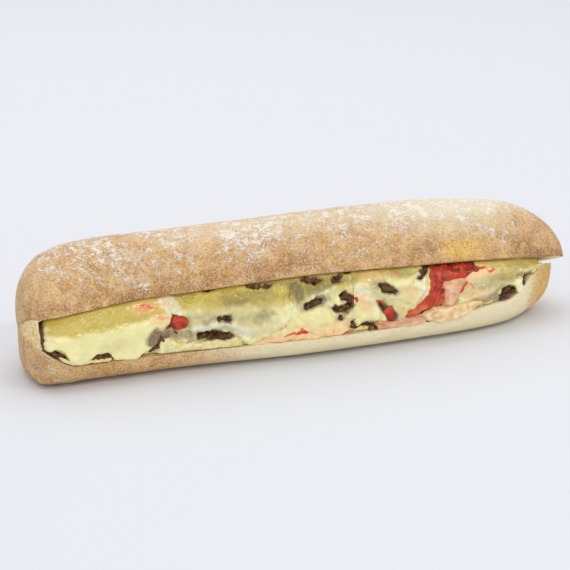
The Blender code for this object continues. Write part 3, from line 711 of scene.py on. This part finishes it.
FOLDS = (
    (1.7, 1.3, (-66.0, 0.64), (-58.0, 0.62), (-50.0, 0.61), (-45.0, 0.645)),
    (1.0, 0.8, (-14.0, 0.42), (-16.5, 0.60), (-20.5, 0.70), (-30.0, 0.89)), (3.0, 2.2, (30.6, 0.715)),
    (1.8, 0.9, (60.0, 0.22), (58.5, 0.44), (52.0, 0.66)),
    (1.3, 1.3, (31.0, 0.30), (37.0, 0.50), (44.5, 0.82)),
    (2.4, 0.6, (57.0, 0.16), (58.0, 0.45), (52.0, 0.68)),
    (2.6, 1.3, (110.0, 0.44), (116.0, 0.70), (117.2, 0.98)), (3.4, 0.8, (-123.5, 0.92)),
    (4.4, 0.8, (-101.0, 0.94), (-96.0, 0.94)), (3.0, 1.3, (-42.5, 0.74), (-38.0, 0.80)),
    (1.4, 0.9, (-66.0, 0.40), (-58.0, 0.36), (-46.0, 0.42)),
    (1.2, 1.0, (3.0, 0.42), (7.0, 0.50), (10.0, 0.55)), (3.0, 0.7, (88.5, 0.25)),
    (4.0, 0.5, (-8.0, 0.68), (6.0, 0.70)), (2.4, -0.9, (-12.0, 0.12), (-10.5, 0.26)),
    (1.2, -0.5, (4.0, 0.47), (8.0, 0.56)), (1.4, 0.6, (4.0, 0.30), (12.0, 0.24), (19.0, 0.30)),
    (1.6, -0.5, (-30.0, 0.44), (-22.0, 0.52)), (2.2, 0.5, (-56.0, 0.30), (-44.0, 0.36)),
    (1.4, 0.5, (96.0, 0.62), (90.0, 0.82)), (2.6, 0.6, (104.0, 0.22), (120.0, 0.26)),
    (1.2, -0.4, (100.0, 0.45), (92.0, 0.60)), (1.6, 0.5, (24.0, 0.34), (27.0, 0.42)),
)


def cheese_material():
    """Melted cheese: soft and half clear, with an oily sheen that shows every fold."""
    material, tree = new_material("melted_cheese")
    names = ("yellow", "olive_and_shade", "white_and_highlight", "haze", "pink", "red")
    masks = [add(tree, "Attribute", None, "Fac", attribute_name=name) for name in names]
    yellow, olive_and_shade, white_and_highlight, haze, pink, red = masks
    broad = speckle(tree, 7.0, 3.0, 0.5)
    small = speckle(tree, 1.3, 3.0, 0.6)
    uneven = add(tree, "Math", {0: broad, 1: 0.5}, operation="SUBTRACT")
    yellow = add(tree, "Math", {0: uneven, 1: 0.3, 2: yellow}, operation="MULTIPLY_ADD")
    grain = add(tree, "Math", {0: small, 1: 1.1, 2: 0.45}, operation="MULTIPLY_ADD")
    red = add(tree, "Math", {0: red, 1: grain}, operation="MULTIPLY")
    colour = lay_on(tree, "f9f1b0", "e3d482", broad, (0.35, 0.7), 0.35)
    # The darker yellow is partly the cheese's own colour and partly painted shade under the upper half.
    colour = lay_on(tree, colour, "d3bb52", yellow, (0.08, 0.92))
    # Olive: painted shade under the upper half and in creases, with some greener tint of the cheese.
    colour = lay_on(tree, colour, "85753a", olive_and_shade)
    # White: pale cheese strands, and painted highlights on the fold ridges.
    colour = lay_on(tree, colour, "f8f4d6", white_and_highlight)
    colour = lay_on(tree, colour, "84694a", haze, None, grain)
    colour = lay_on(tree, colour, "ffcf98", pink)
    colour = lay_on(tree, colour, "f08038", red, (0.06, 0.60))
    colour = lay_on(tree, colour, "d03208", red, (0.42, 0.85))
    height = add(tree, "Math", {0: small, 1: 0.3, 2: broad}, operation="MULTIPLY_ADD")
    values = {"Roughness": 0.36, "Specular IOR Level": 0.35, "Coat Weight": 0.8, "Coat Roughness": 0.1,
              "Subsurface Weight": 0.25, "Subsurface Radius": (1.0, 0.8, 0.35), "Subsurface Scale": 0.0014}
    finish(tree, colour, height, 1.2, 0.9, values)
    return material


# Side edges of the slices from left to right. FAR is the distance to an edge that isn't there.
EDGE_A_LEFT = curve((-1.0, -138.8), (0.02, -139.0), (0.20, -140.0), (0.38, -140.6), (0.60, -140.6),
                    (0.85, -141.6), (1.0, -141.6))
EDGE_A = curve((-1.0, -77.0), (0.35, -75.6), (0.45, -75.8), (0.55, -78.4), (0.66, -79.6),
               (0.76, -82.5), (0.86, -86.0), (0.95, -89.5), (1.0, -92.0))
EDGE_B_LEFT = curve((-1.0, -79.5), (0.30, -79.0), (0.36, -74.0), (0.44, -68.6), (0.52, -74.0),
                    (0.60, -80.0), (0.80, -84.0), (1.0, -84.0))
EDGE_B = curve((-1.0, -12.0), (0.4, -13.5), (0.6, -15.5), (0.7, -18.5), (0.77, -22.0), (0.89, -28.0),
               (1.0, -38.0))
EDGE_C = curve((-1.0, 20.5), (0.6, 20.5), (1.0, 19.5))
EDGE_D = curve((-1.0, 64.0), (0.0, 64.6), (0.12, 65.4), (0.26, 65.2), (0.44, 63.2), (0.57, 60.6),
               (0.74, 54.0), (0.83, 47.5), (1.0, 45.5))
EDGE_E = curve((-1.0, 92.0), (0.05, 92.0), (0.10, 94.5), (0.17, 92.0), (0.20, 88.0), (0.27, 84.0),
               (0.34, 82.0), (0.5, 79.0), (1.0, 77.0))
FAR = 99.0


def slice_inside(left, right, bottom, holes=(), seed=1.0, melt=(False, False)):
    """Distances of a slice to its free edge and to the sides that melt into a neighbour."""
    def inside(x, u):
        wx, wu = warped(x, u, seed, 0.7, 3.6)
        from_left = wx - left(wu)
        from_right = right(wu) - wx
        free = (bottom(x) + 0.012 * flat_noise(x, u, 3.0, seed + 9.0) - u) * arc(x)
        joined = np.full_like(x, FAR)
        for melts, side in ((melt[0], from_left), (melt[1], from_right)):
            if melts:
                joined = np.minimum(joined, side + 1.6)
            else:
                free = soft_min(free, side)
        ragged_x, ragged_u = warped(wx, wu, seed + 20.0, 0.8, 1.9)
        for half, *points in holes:
            free = soft_min(free, near(ragged_x, ragged_u, points) - half, 0.8)
        return free, joined
    return inside


def cheese_relief(amount, size, seed):
    """Folds shared by all slices over a lumpy surface of their own."""
    def relief(x, u):
        wx, wu = warped(x, u, 31.0, 0.9, 5.0)
        wave = flat_noise(x, u, size, seed) - 0.5
        fine = 0.22 * flat_noise(x, u, 1.7, seed + 4.0)
        belly = 0.7 * smooth((u - 0.34) / 0.12) * smooth((-80.0 - x) / 8.0)
        lumps = (amount * wave + fine) * smooth(0.25 + u / 0.2)
        return lumps + belly + strokes(wx, wu, FOLDS, 1.5)
    return relief


def make_slice(node, x_range, inside, relief, material, holes=()):
    """One slice with its stains, its painted shade and painted highlights, and a haze round the holes,
    where the cheese thins.
    """
    obj, x, u, _ = sheet(node + "_melt", x_range, -0.85, inside, relief)
    wx, wu = warped(x, u, 4.0, 0.9, 3.0)
    # This mask holds the cheese's yellow and the painted shade from the upper half together.
    to_u = np.interp(x, *YELLOW_AND_SHADE_TO) + np.where(x < -80.0, 0.015, 0.05) * flat_noise(x, u, 9.0, 41.0)
    width = np.interp(x, (-90.0, -70.0), (0.20, 0.36))
    strong = np.interp(x, (-140.0, 18.0, 60.0, 138.0), (1.0, 0.9, 0.7, 0.62))
    set_mask(obj.data, "yellow", strong * smooth((to_u - wu) / width + 0.5))
    stains_shade_and_highlights = (("olive_and_shade", OLIVE_AND_SHADE, 2.4), ("haze", HAZE, 1.5), ("pink", PINK, 1.7), ("red", RED, 0.55),
              ("white_and_highlight", WHITE_AND_HIGHLIGHT, 1.1))
    for name, lines, soft in stains_shade_and_highlights:
        mask = strokes(wx, wu, lines, soft)
        if name == "haze":
            for half, *points in holes:
                mask = np.maximum(mask, 0.8 * smooth(0.9 - (near(wx, wu, points) - half) / 2.0))
        set_mask(obj.data, name, mask)
    dress(obj, node, material)


def make_cheese():
    material = cheese_material()
    bottom = soft_curve((-141.8, 0.86), (-139.0, 0.92), (-134.4, 0.74), (-131.5, 0.77), (-127.5, 0.95),
                        (-123.5, 0.99), (-120.0, 0.95), (-114.5, 0.85), (-109.5, 0.85), (-105.5, 1.00),
                        (-96.0, 1.02), (-90.0, 0.93), (-84.0, 0.84))
    inside = slice_inside(EDGE_A_LEFT, EDGE_A, bottom, (), 1.0)
    make_slice("cheese_first", (-144.0, -75.0), inside, cheese_relief(0.7, 10.0, 1.0), material)
    holes = ((1.3, (-62.0, 0.745), (-57.5, 0.75)), (2.5, (-55.5, 0.775), (-52.5, 0.80)),
             (1.7, (-50.0, 0.82), (-47.0, 0.84)), (0.9, (-51.8, 0.525)),
             (1.4, (-49.0, 0.52), (-47.2, 0.54)), (0.9, (-35.0, 0.0), (-29.5, 0.04)),
             (1.2, (-27.0, 0.05), (-24.5, 0.06)), (0.9, (-58.0, -0.02), (-54.0, -0.02)))
    bottom = soft_curve((-84.0, 0.74), (-78.0, 0.74), (-73.0, 0.83), (-69.0, 0.86), (-50.0, 0.885),
                        (-43.0, 0.92), (-36.0, 1.01))
    inside = slice_inside(EDGE_B_LEFT, EDGE_B, bottom, holes, 2.0, (False, True))
    make_slice("cheese_second", (-86.0, -8.0), inside, cheese_relief(1.8, 6.0, 2.0), material, holes)
    holes = ((1.3, (-6.2, 0.485)), (1.5, (-4.0, 0.47), (-1.5, 0.45)), (2.0, (0.2, 0.425), (1.4, 0.42)),
             (2.2, (14.0, 0.39)), (1.9, (16.0, 0.42), (17.8, 0.46)), (1.7, (17.2, 0.50), (16.2, 0.55)),
             (1.5, (15.0, 0.60), (13.2, 0.62)), (1.2, (12.0, 0.61), (8.5, 0.57)), (1.6, (18.6, 0.86)),
             (1.3, (11.5, 0.72)), (1.5, (-6.5, 0.04), (-2.5, 0.08)), (1.1, (-2.0, 0.08), (2.5, 0.07)),
             (0.9, (9.5, 0.10), (12.0, 0.10)), (0.8, (12.5, 0.07), (13.8, 0.03)),
             (1.0, (17.0, -0.02), (23.0, -0.02)))
    bottom = soft_curve((-40.0, 1.02), (10.0, 1.01), (19.0, 0.97))
    inside = slice_inside(EDGE_B, EDGE_C, bottom, holes, 3.0, (True, True))
    make_slice("cheese_third", (-42.0, 25.0), inside, cheese_relief(1.7, 6.0, 3.0), material, holes)
    holes = ((1.2, (34.5, 0.28)), (2.1, (37.0, 0.31), (40.0, 0.36)), (1.3, (42.5, 0.41)),
             (2.4, (38.0, 0.70), (40.0, 0.82)), (1.3, (34.5, 0.60), (36.5, 0.66)),
             (1.5, (64.0, -0.04), (60.5, 0.11)), (0.9, (60.0, 0.12), (57.0, 0.22)))
    bottom = soft_curve((20.0, 0.90), (26.0, 0.84), (33.0, 0.87), (44.0, 0.90))
    inside = slice_inside(EDGE_C, EDGE_D, bottom, holes, 4.0, (True, False))
    make_slice("cheese_fourth", (15.0, 67.5), inside, cheese_relief(1.7, 5.5, 4.0), material, holes)
    bottom = soft_curve((79.0, 0.80), (92.0, 0.83), (97.0, 0.98), (102.5, 0.97), (106.0, 0.68),
                        (110.0, 0.62), (113.0, 0.68), (115.0, 0.99), (118.0, 1.05), (119.6, 0.62),
                        (121.0, 0.45), (124.0, 0.55), (126.5, 0.96), (136.0, 1.0))
    inside = slice_inside(EDGE_E, lambda u: np.full_like(u, 136.5), bottom, (), 5.0)
    make_slice("cheese_fifth", (76.5, 138.0), inside, cheese_relief(1.5, 6.0, 5.0), material)


make_cheese()

# Minced beef
# Cooked mince, browned and moist. A rough core runs through the roll, and shreds of a few
# millimetres lie all over its face, higher where the cheese leaves holes.

# Where the beef ends, as x in mm, and how many small shreds cover the rest of its face.
BEEF_LEFT = -143.0
BEEF_RIGHT = 120.0
BACKGROUND_SHREDS = 360
# Rows of shreds where beef shows: the two ends in x and u, how many, and their size in mm.
SHREDS = (
    ((-62.0, 0.75), (-46.0, 0.84), 14, 1.6), ((-52.0, 0.525), (-47.0, 0.54), 4, 1.3),
    ((-6.5, 0.485), (1.5, 0.42), 8, 1.4), ((13.6, 0.38), (14.6, 0.40), 3, 1.8),
    ((16.0, 0.42), (17.5, 0.52), 6, 1.4), ((16.5, 0.55), (8.0, 0.58), 8, 1.3),
    ((18.6, 0.86), (18.6, 0.87), 2, 1.5), ((34.5, 0.28), (42.5, 0.41), 9, 1.5),
    ((11.0, 0.72), (12.0, 0.72), 2, 1.2), ((64.0, -0.02), (57.0, 0.22), 8, 1.4),
    ((17.0, 0.0), (23.0, 0.0), 4, 1.1), ((104.0, 0.92), (110.0, 0.70), 8, 1.7),
    ((108.0, 0.90), (113.5, 0.82), 7, 1.6), ((119.6, 0.55), (119.8, 0.95), 5, 1.5),
    ((-84.5, 0.82), (-81.0, 0.68), 6, 1.2), ((-74.5, 0.70), (-73.0, 0.60), 3, 1.1),
    ((-88.0, 0.88), (-84.0, 0.86), 3, 1.2), ((-35.0, 0.0), (-24.0, 0.06), 8, 1.2),
    ((-58.0, 0.0), (-54.0, 0.0), 3, 1.0), ((-7.0, 0.04), (2.0, 0.08), 7, 1.5),
    ((9.0, 0.10), (14.0, 0.03), 4, 1.1), ((58.0, 0.10), (60.5, 0.06), 4, 1.6),
    ((-138.5, 0.92), (-131.0, 0.86), 9, 1.5), ((-120.0, 0.97), (-106.0, 0.94), 13, 1.6),
    ((-117.0, 0.90), (-108.0, 0.90), 8, 1.4), ((27.5, 0.94), (31.0, 0.94), 3, 1.1),
    ((-141.6, 0.0), (-142.2, 0.90), 20, 1.7),
)


def beef_material():
    """Browned mince: warm dark brown with small pale flecks that are painted highlights, moist enough to
    catch small lights.
    """
    material, tree = new_material("browned_minced_beef")
    broad = speckle(tree, 3.4, 3.0, 0.6)
    small = speckle(tree, 0.7, 4.0, 0.65)
    colour = lay_on(tree, "3a210d", "7d5129", broad, (0.34, 0.68))
    # Small pale flecks over the brown: painted highlights on the mince.
    colour = lay_on(tree, colour, "b08b5e", small, (0.5, 0.78), 0.65)
    values = {"Roughness": 0.4, "Specular IOR Level": 0.25, "Coat Weight": 0.15, "Coat Roughness": 0.12}
    finish(tree, colour, small, 0.6, 1.0, values)
    return material


def shred(bm, rng, x, u, size, top, finer=2):
    """One piece of mince: a torn lump, longer than wide, turned any way on the face."""
    made = bmesh.ops.create_icosphere(bm, subdivisions=finer, radius=1.0)["verts"]
    points = points_of(made)
    seed = rng.uniform(0.0, 60.0)
    swell = 1.0 + 0.42 * bumps(points, 0.9, seed) + 0.26 * bumps(points, 0.4, seed)
    points = points * swell[:, None]
    long_side = size * rng.uniform(0.9, 1.7)
    short_side = size * rng.uniform(0.55, 0.9)
    turn = rng.uniform(0.0, np.pi)
    across = points[:, 0] * long_side * np.cos(turn) - points[:, 1] * short_side * np.sin(turn)
    down = points[:, 0] * long_side * np.sin(turn) + points[:, 1] * short_side * np.cos(turn)
    half_n = 0.8 * size + 0.3
    at_x = np.clip(x + across, BEEF_LEFT - 0.6, BEEF_RIGHT + 0.6)
    moved = place(at_x, np.clip(u + down / float(arc(x)), -0.2, 1.03), top - half_n + points[:, 2] * half_n)
    moved[:, 2] = np.maximum(moved[:, 2], floor_height(moved[:, 0], moved[:, 1]) + 0.4)
    move_to(made, moved)


def join_rings(bm, rings):
    """Closed skin through rings of points, with a flat face at each end."""
    for one, two in zip(rings, rings[1:]):
        for k in range(len(one)):
            m = (k + 1) % len(one)
            bm.faces.new((one[k], one[m], two[m], two[k]))
    bm.faces.new(rings[0])
    bm.faces.new(rings[-1][::-1])


def make_beef():
    """The core, then the rows of shreds in the holes, then shreds all over its face."""
    rng = np.random.default_rng(5)
    xs = np.linspace(BEEF_LEFT, BEEF_RIGHT, 230)
    us = np.concatenate((np.linspace(-0.98, 0.0, 14)[:-1], np.linspace(0.0, 0.95, 40)))
    x, u = np.meshgrid(xs, us, indexing="ij")
    face = place(x, u, -3.4 + 0.8 * flat_noise(x, u, 3.0, 8.0) + 4.2 * smooth((-138.5 - x) / 2.0))
    bm = bmesh.new()
    rings = []
    for row in face:
        lowest = floor_height(row[:, 0], row[:, 1]) + SLIT / 2 + 1.2
        row[:, 2] = np.maximum(row[:, 2], lowest + 0.8)
        under = [(row[0, 0], row[-1, 1] + 1.0, lowest[-1]), (row[0, 0], row[0, 1], lowest[0])]
        rings.append([bm.verts.new(p) for p in list(row) + under])
    join_rings(bm, rings)
    for (x0, u0), (x1, u1), count, size in SHREDS:
        for k in range(count):
            share = (k + rng.uniform(0.0, 1.0)) / count
            shred(bm, rng, x0 + (x1 - x0) * share, u0 + (u1 - u0) * share + rng.uniform(-0.025, 0.025),
                  size * rng.uniform(0.75, 1.15), rng.uniform(-1.0, 0.2), 3)
    for _ in range(BACKGROUND_SHREDS):
        shred(bm, rng, rng.uniform(-139.5, 118.0), rng.uniform(-0.05, 0.93), rng.uniform(1.4, 2.6),
              rng.uniform(-3.2, -2.5))
    dress(to_object("beef_mince", bm), "beef", beef_material())


make_beef()

# Tomato sauce
# A thick glossy red sauce, cooked down and spooned on, that runs over the cheese in one place.
# Two soft bits of tomato lie beside it, half sunk in the cheese.

# The sauce's side edges, as x at each u.
SAUCE_LEFT = curve((-1.0, 63.5), (0.10, 63.8), (0.26, 63.6), (0.5, 61.0), (0.6, 57.5), (0.74, 51.5),
                   (0.82, 48.0), (1.0, 47.0))
SAUCE_RIGHT = curve((-1.0, 95.0), (0.06, 95.0), (0.13, 94.0), (0.20, 88.5), (0.27, 85.5), (0.31, 80.0),
                    (0.36, 74.0), (0.45, 72.4), (0.62, 71.4), (1.0, 70.0))


def sauce_material():
    """Tomato sauce: deep wet red, more orange where it thins, with sharp wavy lights."""
    material, tree = new_material("tomato_sauce")
    thin = add(tree, "Attribute", None, "Fac", attribute_name="thin")
    broad = speckle(tree, 5.0, 3.0, 0.6)
    small = speckle(tree, 1.1, 3.0, 0.6)
    colour = lay_on(tree, "8c1600", "c83c0a", broad, (0.36, 0.64))
    colour = lay_on(tree, colour, "e4581a", small, (0.58, 0.8), 0.35)
    colour = lay_on(tree, colour, "ef8a48", small, (0.3, 0.6), thin)
    height = add(tree, "Math", {0: small, 1: 0.4, 2: broad}, operation="MULTIPLY_ADD")
    values = {"Roughness": 0.3, "Specular IOR Level": 0.12, "Coat Weight": 0.8, "Coat Roughness": 0.09,
              "Subsurface Weight": 0.1, "Subsurface Radius": (1.0, 0.25, 0.1), "Subsurface Scale": 0.001}
    finish(tree, colour, height, 0.6, 0.7, values)
    return material


def drop(name, x, u, half_x, half_s, half_n, depth, seed):
    """A rounded soft piece with its centre at the given depth."""
    bm = bmesh.new()
    bmesh.ops.create_icosphere(bm, subdivisions=5, radius=1.0)
    points = points_of(bm.verts)
    points *= (1.0 + 0.14 * bumps(points, 0.8, seed) + 0.06 * bumps(points, 0.3, seed))[:, None]
    across, down, out = points.T
    move_to(bm.verts, place(x + across * half_x, u + down * half_s / FACE_HEIGHT, depth + out * half_n))
    return to_object(name, bm)


def sauce_relief(x, u):
    """Thick waves, with two ridges where the sauce piles up."""
    waves = 1.2 * (flat_noise(x, u, 4.4, 6.0, 2) - 0.5) + 0.1 * flat_noise(x, u, 1.3, 7.0)
    ridges = ((1.8, 0.8, (64.0, 0.10), (66.0, 0.60)), (1.6, 0.6, (74.0, 0.20), (94.0, 0.20)))
    return waves + strokes(x, u, ridges, 1.6)


def make_sauce():
    """The pool of sauce, more orange at its thin rim, and the two bits of tomato."""
    material = sauce_material()
    bottom = soft_curve((46.0, 0.86), (52.0, 0.86), (60.0, 0.78), (70.0, 0.72), (74.0, 0.66),
                        (99.0, 0.60))
    inside = slice_inside(SAUCE_LEFT, SAUCE_RIGHT, bottom, (), 6.0)
    obj, x, u, free = sheet("tomato_sauce_pool", (44.5, 99.5), -0.6, inside, sauce_relief)
    wx, wu = warped(x, u, 8.0, 1.0, 3.0)
    orange = ((2.0, 1.0, (61.0, 0.02), (60.5, 0.20)), (2.4, 0.9, (50.0, 0.78), (58.0, 0.74)),
              (1.6, 0.8, (66.0, 0.70), (71.0, 0.66)), (1.4, 0.6, (92.0, 0.14), (97.0, 0.18)))
    thin_rim = 0.55 * smooth(1.0 - free / 1.5)
    set_mask(obj.data, "thin", np.maximum(0.7 * strokes(wx, wu, orange, 1.2), thin_rim))
    dress(obj, "tomato_sauce", material)
    left = drop("tomato_bit_left", -72.6, 0.49, 4.6, 3.8, 2.2, -0.7, 2.0)
    dress(left, "tomato_piece_left", material)
    right = drop("tomato_bit_right", 39.4, 0.77, 4.2, 4.0, 1.8, -1.7, 3.0)
    dress(right, "tomato_piece_right", material)


make_sauce()

# Onion strips
# Strips of onion, cooked until soft and half clear. The tall and the flat one are pinkish from
# the sauce, and the low one is buttery and pale and drapes over the rim of the bread.

def onion_material():
    """Cooked onion: half clear and slippery, so that the sauce behind tints it."""
    material, tree = new_material("soft_cooked_onion")
    butter = add(tree, "Attribute", None, "Fac", attribute_name="butter")
    red = add(tree, "Attribute", None, "Fac", attribute_name="red")
    broad = speckle(tree, 4.0, 2.0, 0.5)
    small = speckle(tree, 1.0, 3.0, 0.6)
    pink_strip = lay_on(tree, "dba077", "f1c7a0", broad, (0.35, 0.68))
    butter_strip = lay_on(tree, "e6be84", "fae6b2", broad, (0.35, 0.68))
    colour = lay_on(tree, pink_strip, butter_strip, butter)
    colour = lay_on(tree, colour, "d98a54", small, (0.5, 0.8), 0.35)
    colour = lay_on(tree, colour, "d2401c", red)
    height = add(tree, "Math", {0: small, 1: 0.3, 2: broad}, operation="MULTIPLY_ADD")
    values = {"Roughness": 0.28, "Specular IOR Level": 0.35, "Coat Weight": 0.4, "Coat Roughness": 0.1,
              "Subsurface Weight": 0.4, "Subsurface Radius": (1.0, 0.55, 0.35), "Subsurface Scale": 0.002}
    finish(tree, colour, height, 0.6, 0.7, values)
    return material


def onion_red(x, u):
    """Sauce on the onions: the drop beside the tall strip and the left ends of the others."""
    lines = ((1.1, 1.0, (84.5, 0.40), (81.5, 0.47), (79.6, 0.57)),
             (0.7, 0.7, (31.5, 0.90), (35.0, 0.93)), (0.8, 0.5, (62.0, 0.86), (66.0, 0.84)))
    wx, wu = warped(x, u, 14.0, 0.7, 2.5)
    return strokes(wx, wu, lines, 0.6)


def make_onion():
    """Each strip has its range in x, its upper and lower edge as u at each x, and its height."""
    material = onion_material()
    strips = (
        ("onion_strip_tall", (70.4, 84.0), curve((69.0, 0.32), (79.0, 0.29), (84.0, 0.30)),
         curve((69.0, 0.76), (75.5, 0.78), (79.0, 0.58), (84.0, 0.38)), 0.6),
        ("onion_strip_flat", (31.0, 59.0), curve((30.0, 0.90), (45.0, 0.875), (59.0, 0.90)),
         curve((30.0, 0.95), (40.0, 1.0), (59.0, 1.0)), 0.2),
        ("onion_strip_low", (58.5, 92.5), curve((58.0, 0.86), (64.0, 0.79), (76.0, 0.80), (92.0, 0.82)),
         curve((58.0, 0.93), (66.0, 1.03), (80.0, 1.05), (88.0, 0.98), (92.0, 0.92)), 0.3),
    )
    for k, (node, (x0, x1), top, foot, height) in enumerate(strips):
        def inside(x, u, x0=x0, x1=x1, top=top, foot=foot, k=k):
            wx, wu = warped(x, u, 20.0 + k, 0.6, 4.0)
            sides = soft_min(wx - x0, x1 - wx, 2.0)
            edges = soft_min((wu - top(x)) * arc(x), (foot(x) - wu) * arc(x), 0.8)
            return soft_min(sides, edges, 1.6), np.full_like(x, FAR)

        def relief(x, u, k=k, height=height):
            over = 1.4 * smooth((u - 0.96) / 0.06)
            lumps = 0.5 * flat_noise(x, u, 4.0, 9.0 + k) + 0.2 * flat_noise(x, u, 1.5, 11.0 + k)
            return height + lumps + over

        obj, x, u, _ = sheet(node + "_soft", (x0 - 1.5, x1 + 1.5), 0.22, inside, relief, 0.4, 1.6)
        set_mask(obj.data, "red", onion_red(x, u))
        set_mask(obj.data, "butter", np.full_like(x, 1.0 if node == "onion_strip_low" else 0.0))
        dress(obj, node, material)


make_onion()

# Yellow layer
# A soft pale yellow layer, spread on the lower half before the beef. It is fluffy where it
# shows below the cheese.

# Where the layer ends, as x in mm.
LAYER_LEFT = -138.0
LAYER_RIGHT = 105.0


def yellow_material():
    """Soft egg-like layer: pale and fluffy, with butter-yellow hollows."""
    material, tree = new_material("soft_yellow_layer")
    broad = speckle(tree, 3.6, 3.0, 0.6)
    small = speckle(tree, 0.9, 3.0, 0.6)
    colour = lay_on(tree, "f4de88", "fff8c6", broad, (0.36, 0.62))
    colour = lay_on(tree, colour, "d0a440", small, (0.55, 0.8), 0.3)
    height = add(tree, "Math", {0: broad, 1: small}, operation="ADD")
    values = {"Roughness": 0.45, "Subsurface Weight": 0.2, "Subsurface Radius": (1.0, 0.8, 0.3),
              "Subsurface Scale": 0.0015}
    finish(tree, colour, height, 0.7, 0.9, values)
    return material


def make_yellow_layer():
    """One cross-section after the other along x, higher and further out where it shows."""
    xs = np.linspace(LAYER_LEFT, LAYER_RIGHT, 620)
    rows = 26
    a = np.linspace(0.0, 1.0, rows)
    bm = bmesh.new()
    rings = []
    wobble = bumps(np.stack([xs, 0.0 * xs, 0.0 * xs], axis=-1), 4.0, 17.0, 2)
    for x, shift in zip(xs, wobble):
        foot, _ = outline_point(np.array([x]), np.array([1.0]))
        shown = smooth((x + 86.0) / 4.0) * smooth((-38.0 - x) / 5.0)
        strip = smooth((x + 135.0) / 3.0) * smooth((-106.0 - x) / 3.0)
        front = float(foot[0]) + 2.6 * (1.0 - max(shown, strip)) - 0.3 * strip + 0.5 * shift * shown
        tall = 1.7 + (2.4 + 0.7 * shift + 3.0 * smooth(1.0 - abs(x + 78.5) / 8.0)) * shown
        back = float(back_line(x, foot[0])) - 1.0
        y = front + (back - front) * a ** 2.2
        rounded = np.sqrt(np.clip(1.0 - (1.0 - np.clip(a / 0.28, 0.0, 1.0)) ** 2, 0.0, 1.0))
        line = np.stack([np.full(rows, x), y, floor_height(x, y) + SLIT / 2 + 0.2 + tall * rounded], axis=1)
        line[:, 1] -= 0.8 * smooth((rows * 0.4 - np.arange(rows)) / 4.0) * bumps(line, 2.6, 3.0, 3)
        line[:, 2] += 0.7 * bumps(line, 2.4, 6.0, 3) * np.clip(a / 0.1, 0.0, 1.0)
        under = [(x, edge, float(floor_height(x, edge)) + SLIT / 2 + 0.1) for edge in (back, front + 0.3)]
        rings.append([bm.verts.new(p) for p in list(line) + under])
    join_rings(bm, rings)
    dress(to_object("yellow_spread", bm), "yellow_layer", yellow_material())


make_yellow_layer()

# Camera and studio
# The camera stands as the photo's did: 18 degrees up, a little to the left of the front,
# with a long lens. A pale floor lies under a wide light above and behind, a soft fill in
# front, and a narrow light at the right that puts small bright glints on the wet pieces.

# The camera's angles, and in mm its distance, the width of its film, half the floor's width
# and the point that it looks at. The lens gives the photo's pixels to each mm there.
ELEVATION = np.radians(18.0)
YAW = np.radians(19.3)
ROLL = np.radians(-0.37)
DISTANCE = 960.0
PIXELS_PER_MM = 1.918
PHOTO_PIXELS = 570.0
SENSOR = 36.0
FLOOR_HALF = 12000.0
LOOK_AT = np.array([-5.4, 0.0, 29.4])


def make_camera():
    data = bpy.data.cameras.new("camera")
    data.sensor_width = SENSOR
    data.lens = PIXELS_PER_MM * DISTANCE * SENSOR / PHOTO_PIXELS
    data.clip_start = 0.05
    data.clip_end = 50.0
    camera = bpy.data.objects.new("camera", data)
    bpy.context.scene.collection.objects.link(camera)
    back = Vector((-np.sin(YAW) * np.cos(ELEVATION), -np.cos(YAW) * np.cos(ELEVATION), np.sin(ELEVATION)))
    right = Vector((np.cos(YAW), -np.sin(YAW), 0.0))
    up = back.cross(right)
    turned = right * np.cos(ROLL) + up * np.sin(ROLL)
    up = up * np.cos(ROLL) - right * np.sin(ROLL)
    rotation = Matrix((turned, up, back)).transposed().to_4x4()
    stand = Vector((LOOK_AT - CENTRE) * MM) + back * DISTANCE * MM
    camera.matrix_world = Matrix.Translation(stand) @ rotation
    bpy.context.scene.camera = camera


def area_light(name, stand, target, size, watts, colour):
    """A rectangular light that stands at one point and faces another, in metres."""
    data = bpy.data.lights.new(name, "AREA")
    data.shape = "RECTANGLE"
    data.size, data.size_y = size
    data.energy = watts
    data.color = colour
    light = bpy.data.objects.new(name, data)
    bpy.context.scene.collection.objects.link(light)
    light.location = stand
    light.rotation_euler = (Vector(target) - Vector(stand)).to_track_quat("-Z", "Y").to_euler()


def make_studio():
    """A pale matt floor, an even cool sky and the three lights, in metres and watts."""
    bm = bmesh.new()
    bmesh.ops.create_grid(bm, x_segments=2, y_segments=2, size=FLOOR_HALF)
    floor = to_raw("floor", bm)
    floor.data.transform(Matrix.Scale(MM, 4))
    material, tree = new_material("pale_floor")
    shader = tree.nodes["Principled BSDF"]
    shader.inputs["Base Color"].default_value = linear("e1e2e5")
    shader.inputs["Roughness"].default_value = 0.9
    shader.inputs["Specular IOR Level"].default_value = 0.1
    floor.data.materials.append(material)
    world = bpy.data.worlds.new("studio")
    world.use_nodes = True
    sky = world.node_tree.nodes["Background"]
    sky.inputs["Color"].default_value = (0.90, 0.93, 1.0, 1.0)
    sky.inputs["Strength"].default_value = 0.67
    bpy.context.scene.world = world
    area_light("overhead", (0.0, 0.8, 1.5), (0.0, 0.3, 0.03), (2.6, 2.0), 17.0, (1.0, 0.98, 0.95))
    area_light("front_fill", (-0.7, -2.2, 1.3), (0.0, 0.0, 0.03), (2.0, 1.4), 13.5, (1.0, 0.97, 0.92))
    area_light("glint", (0.40, -0.76, 0.94), (0.0, 0.0, 0.04), (0.5, 0.1), 2.2, (1.0, 0.98, 0.96))
    bpy.context.scene.view_settings.view_transform = "Standard"


make_camera()
make_studio()
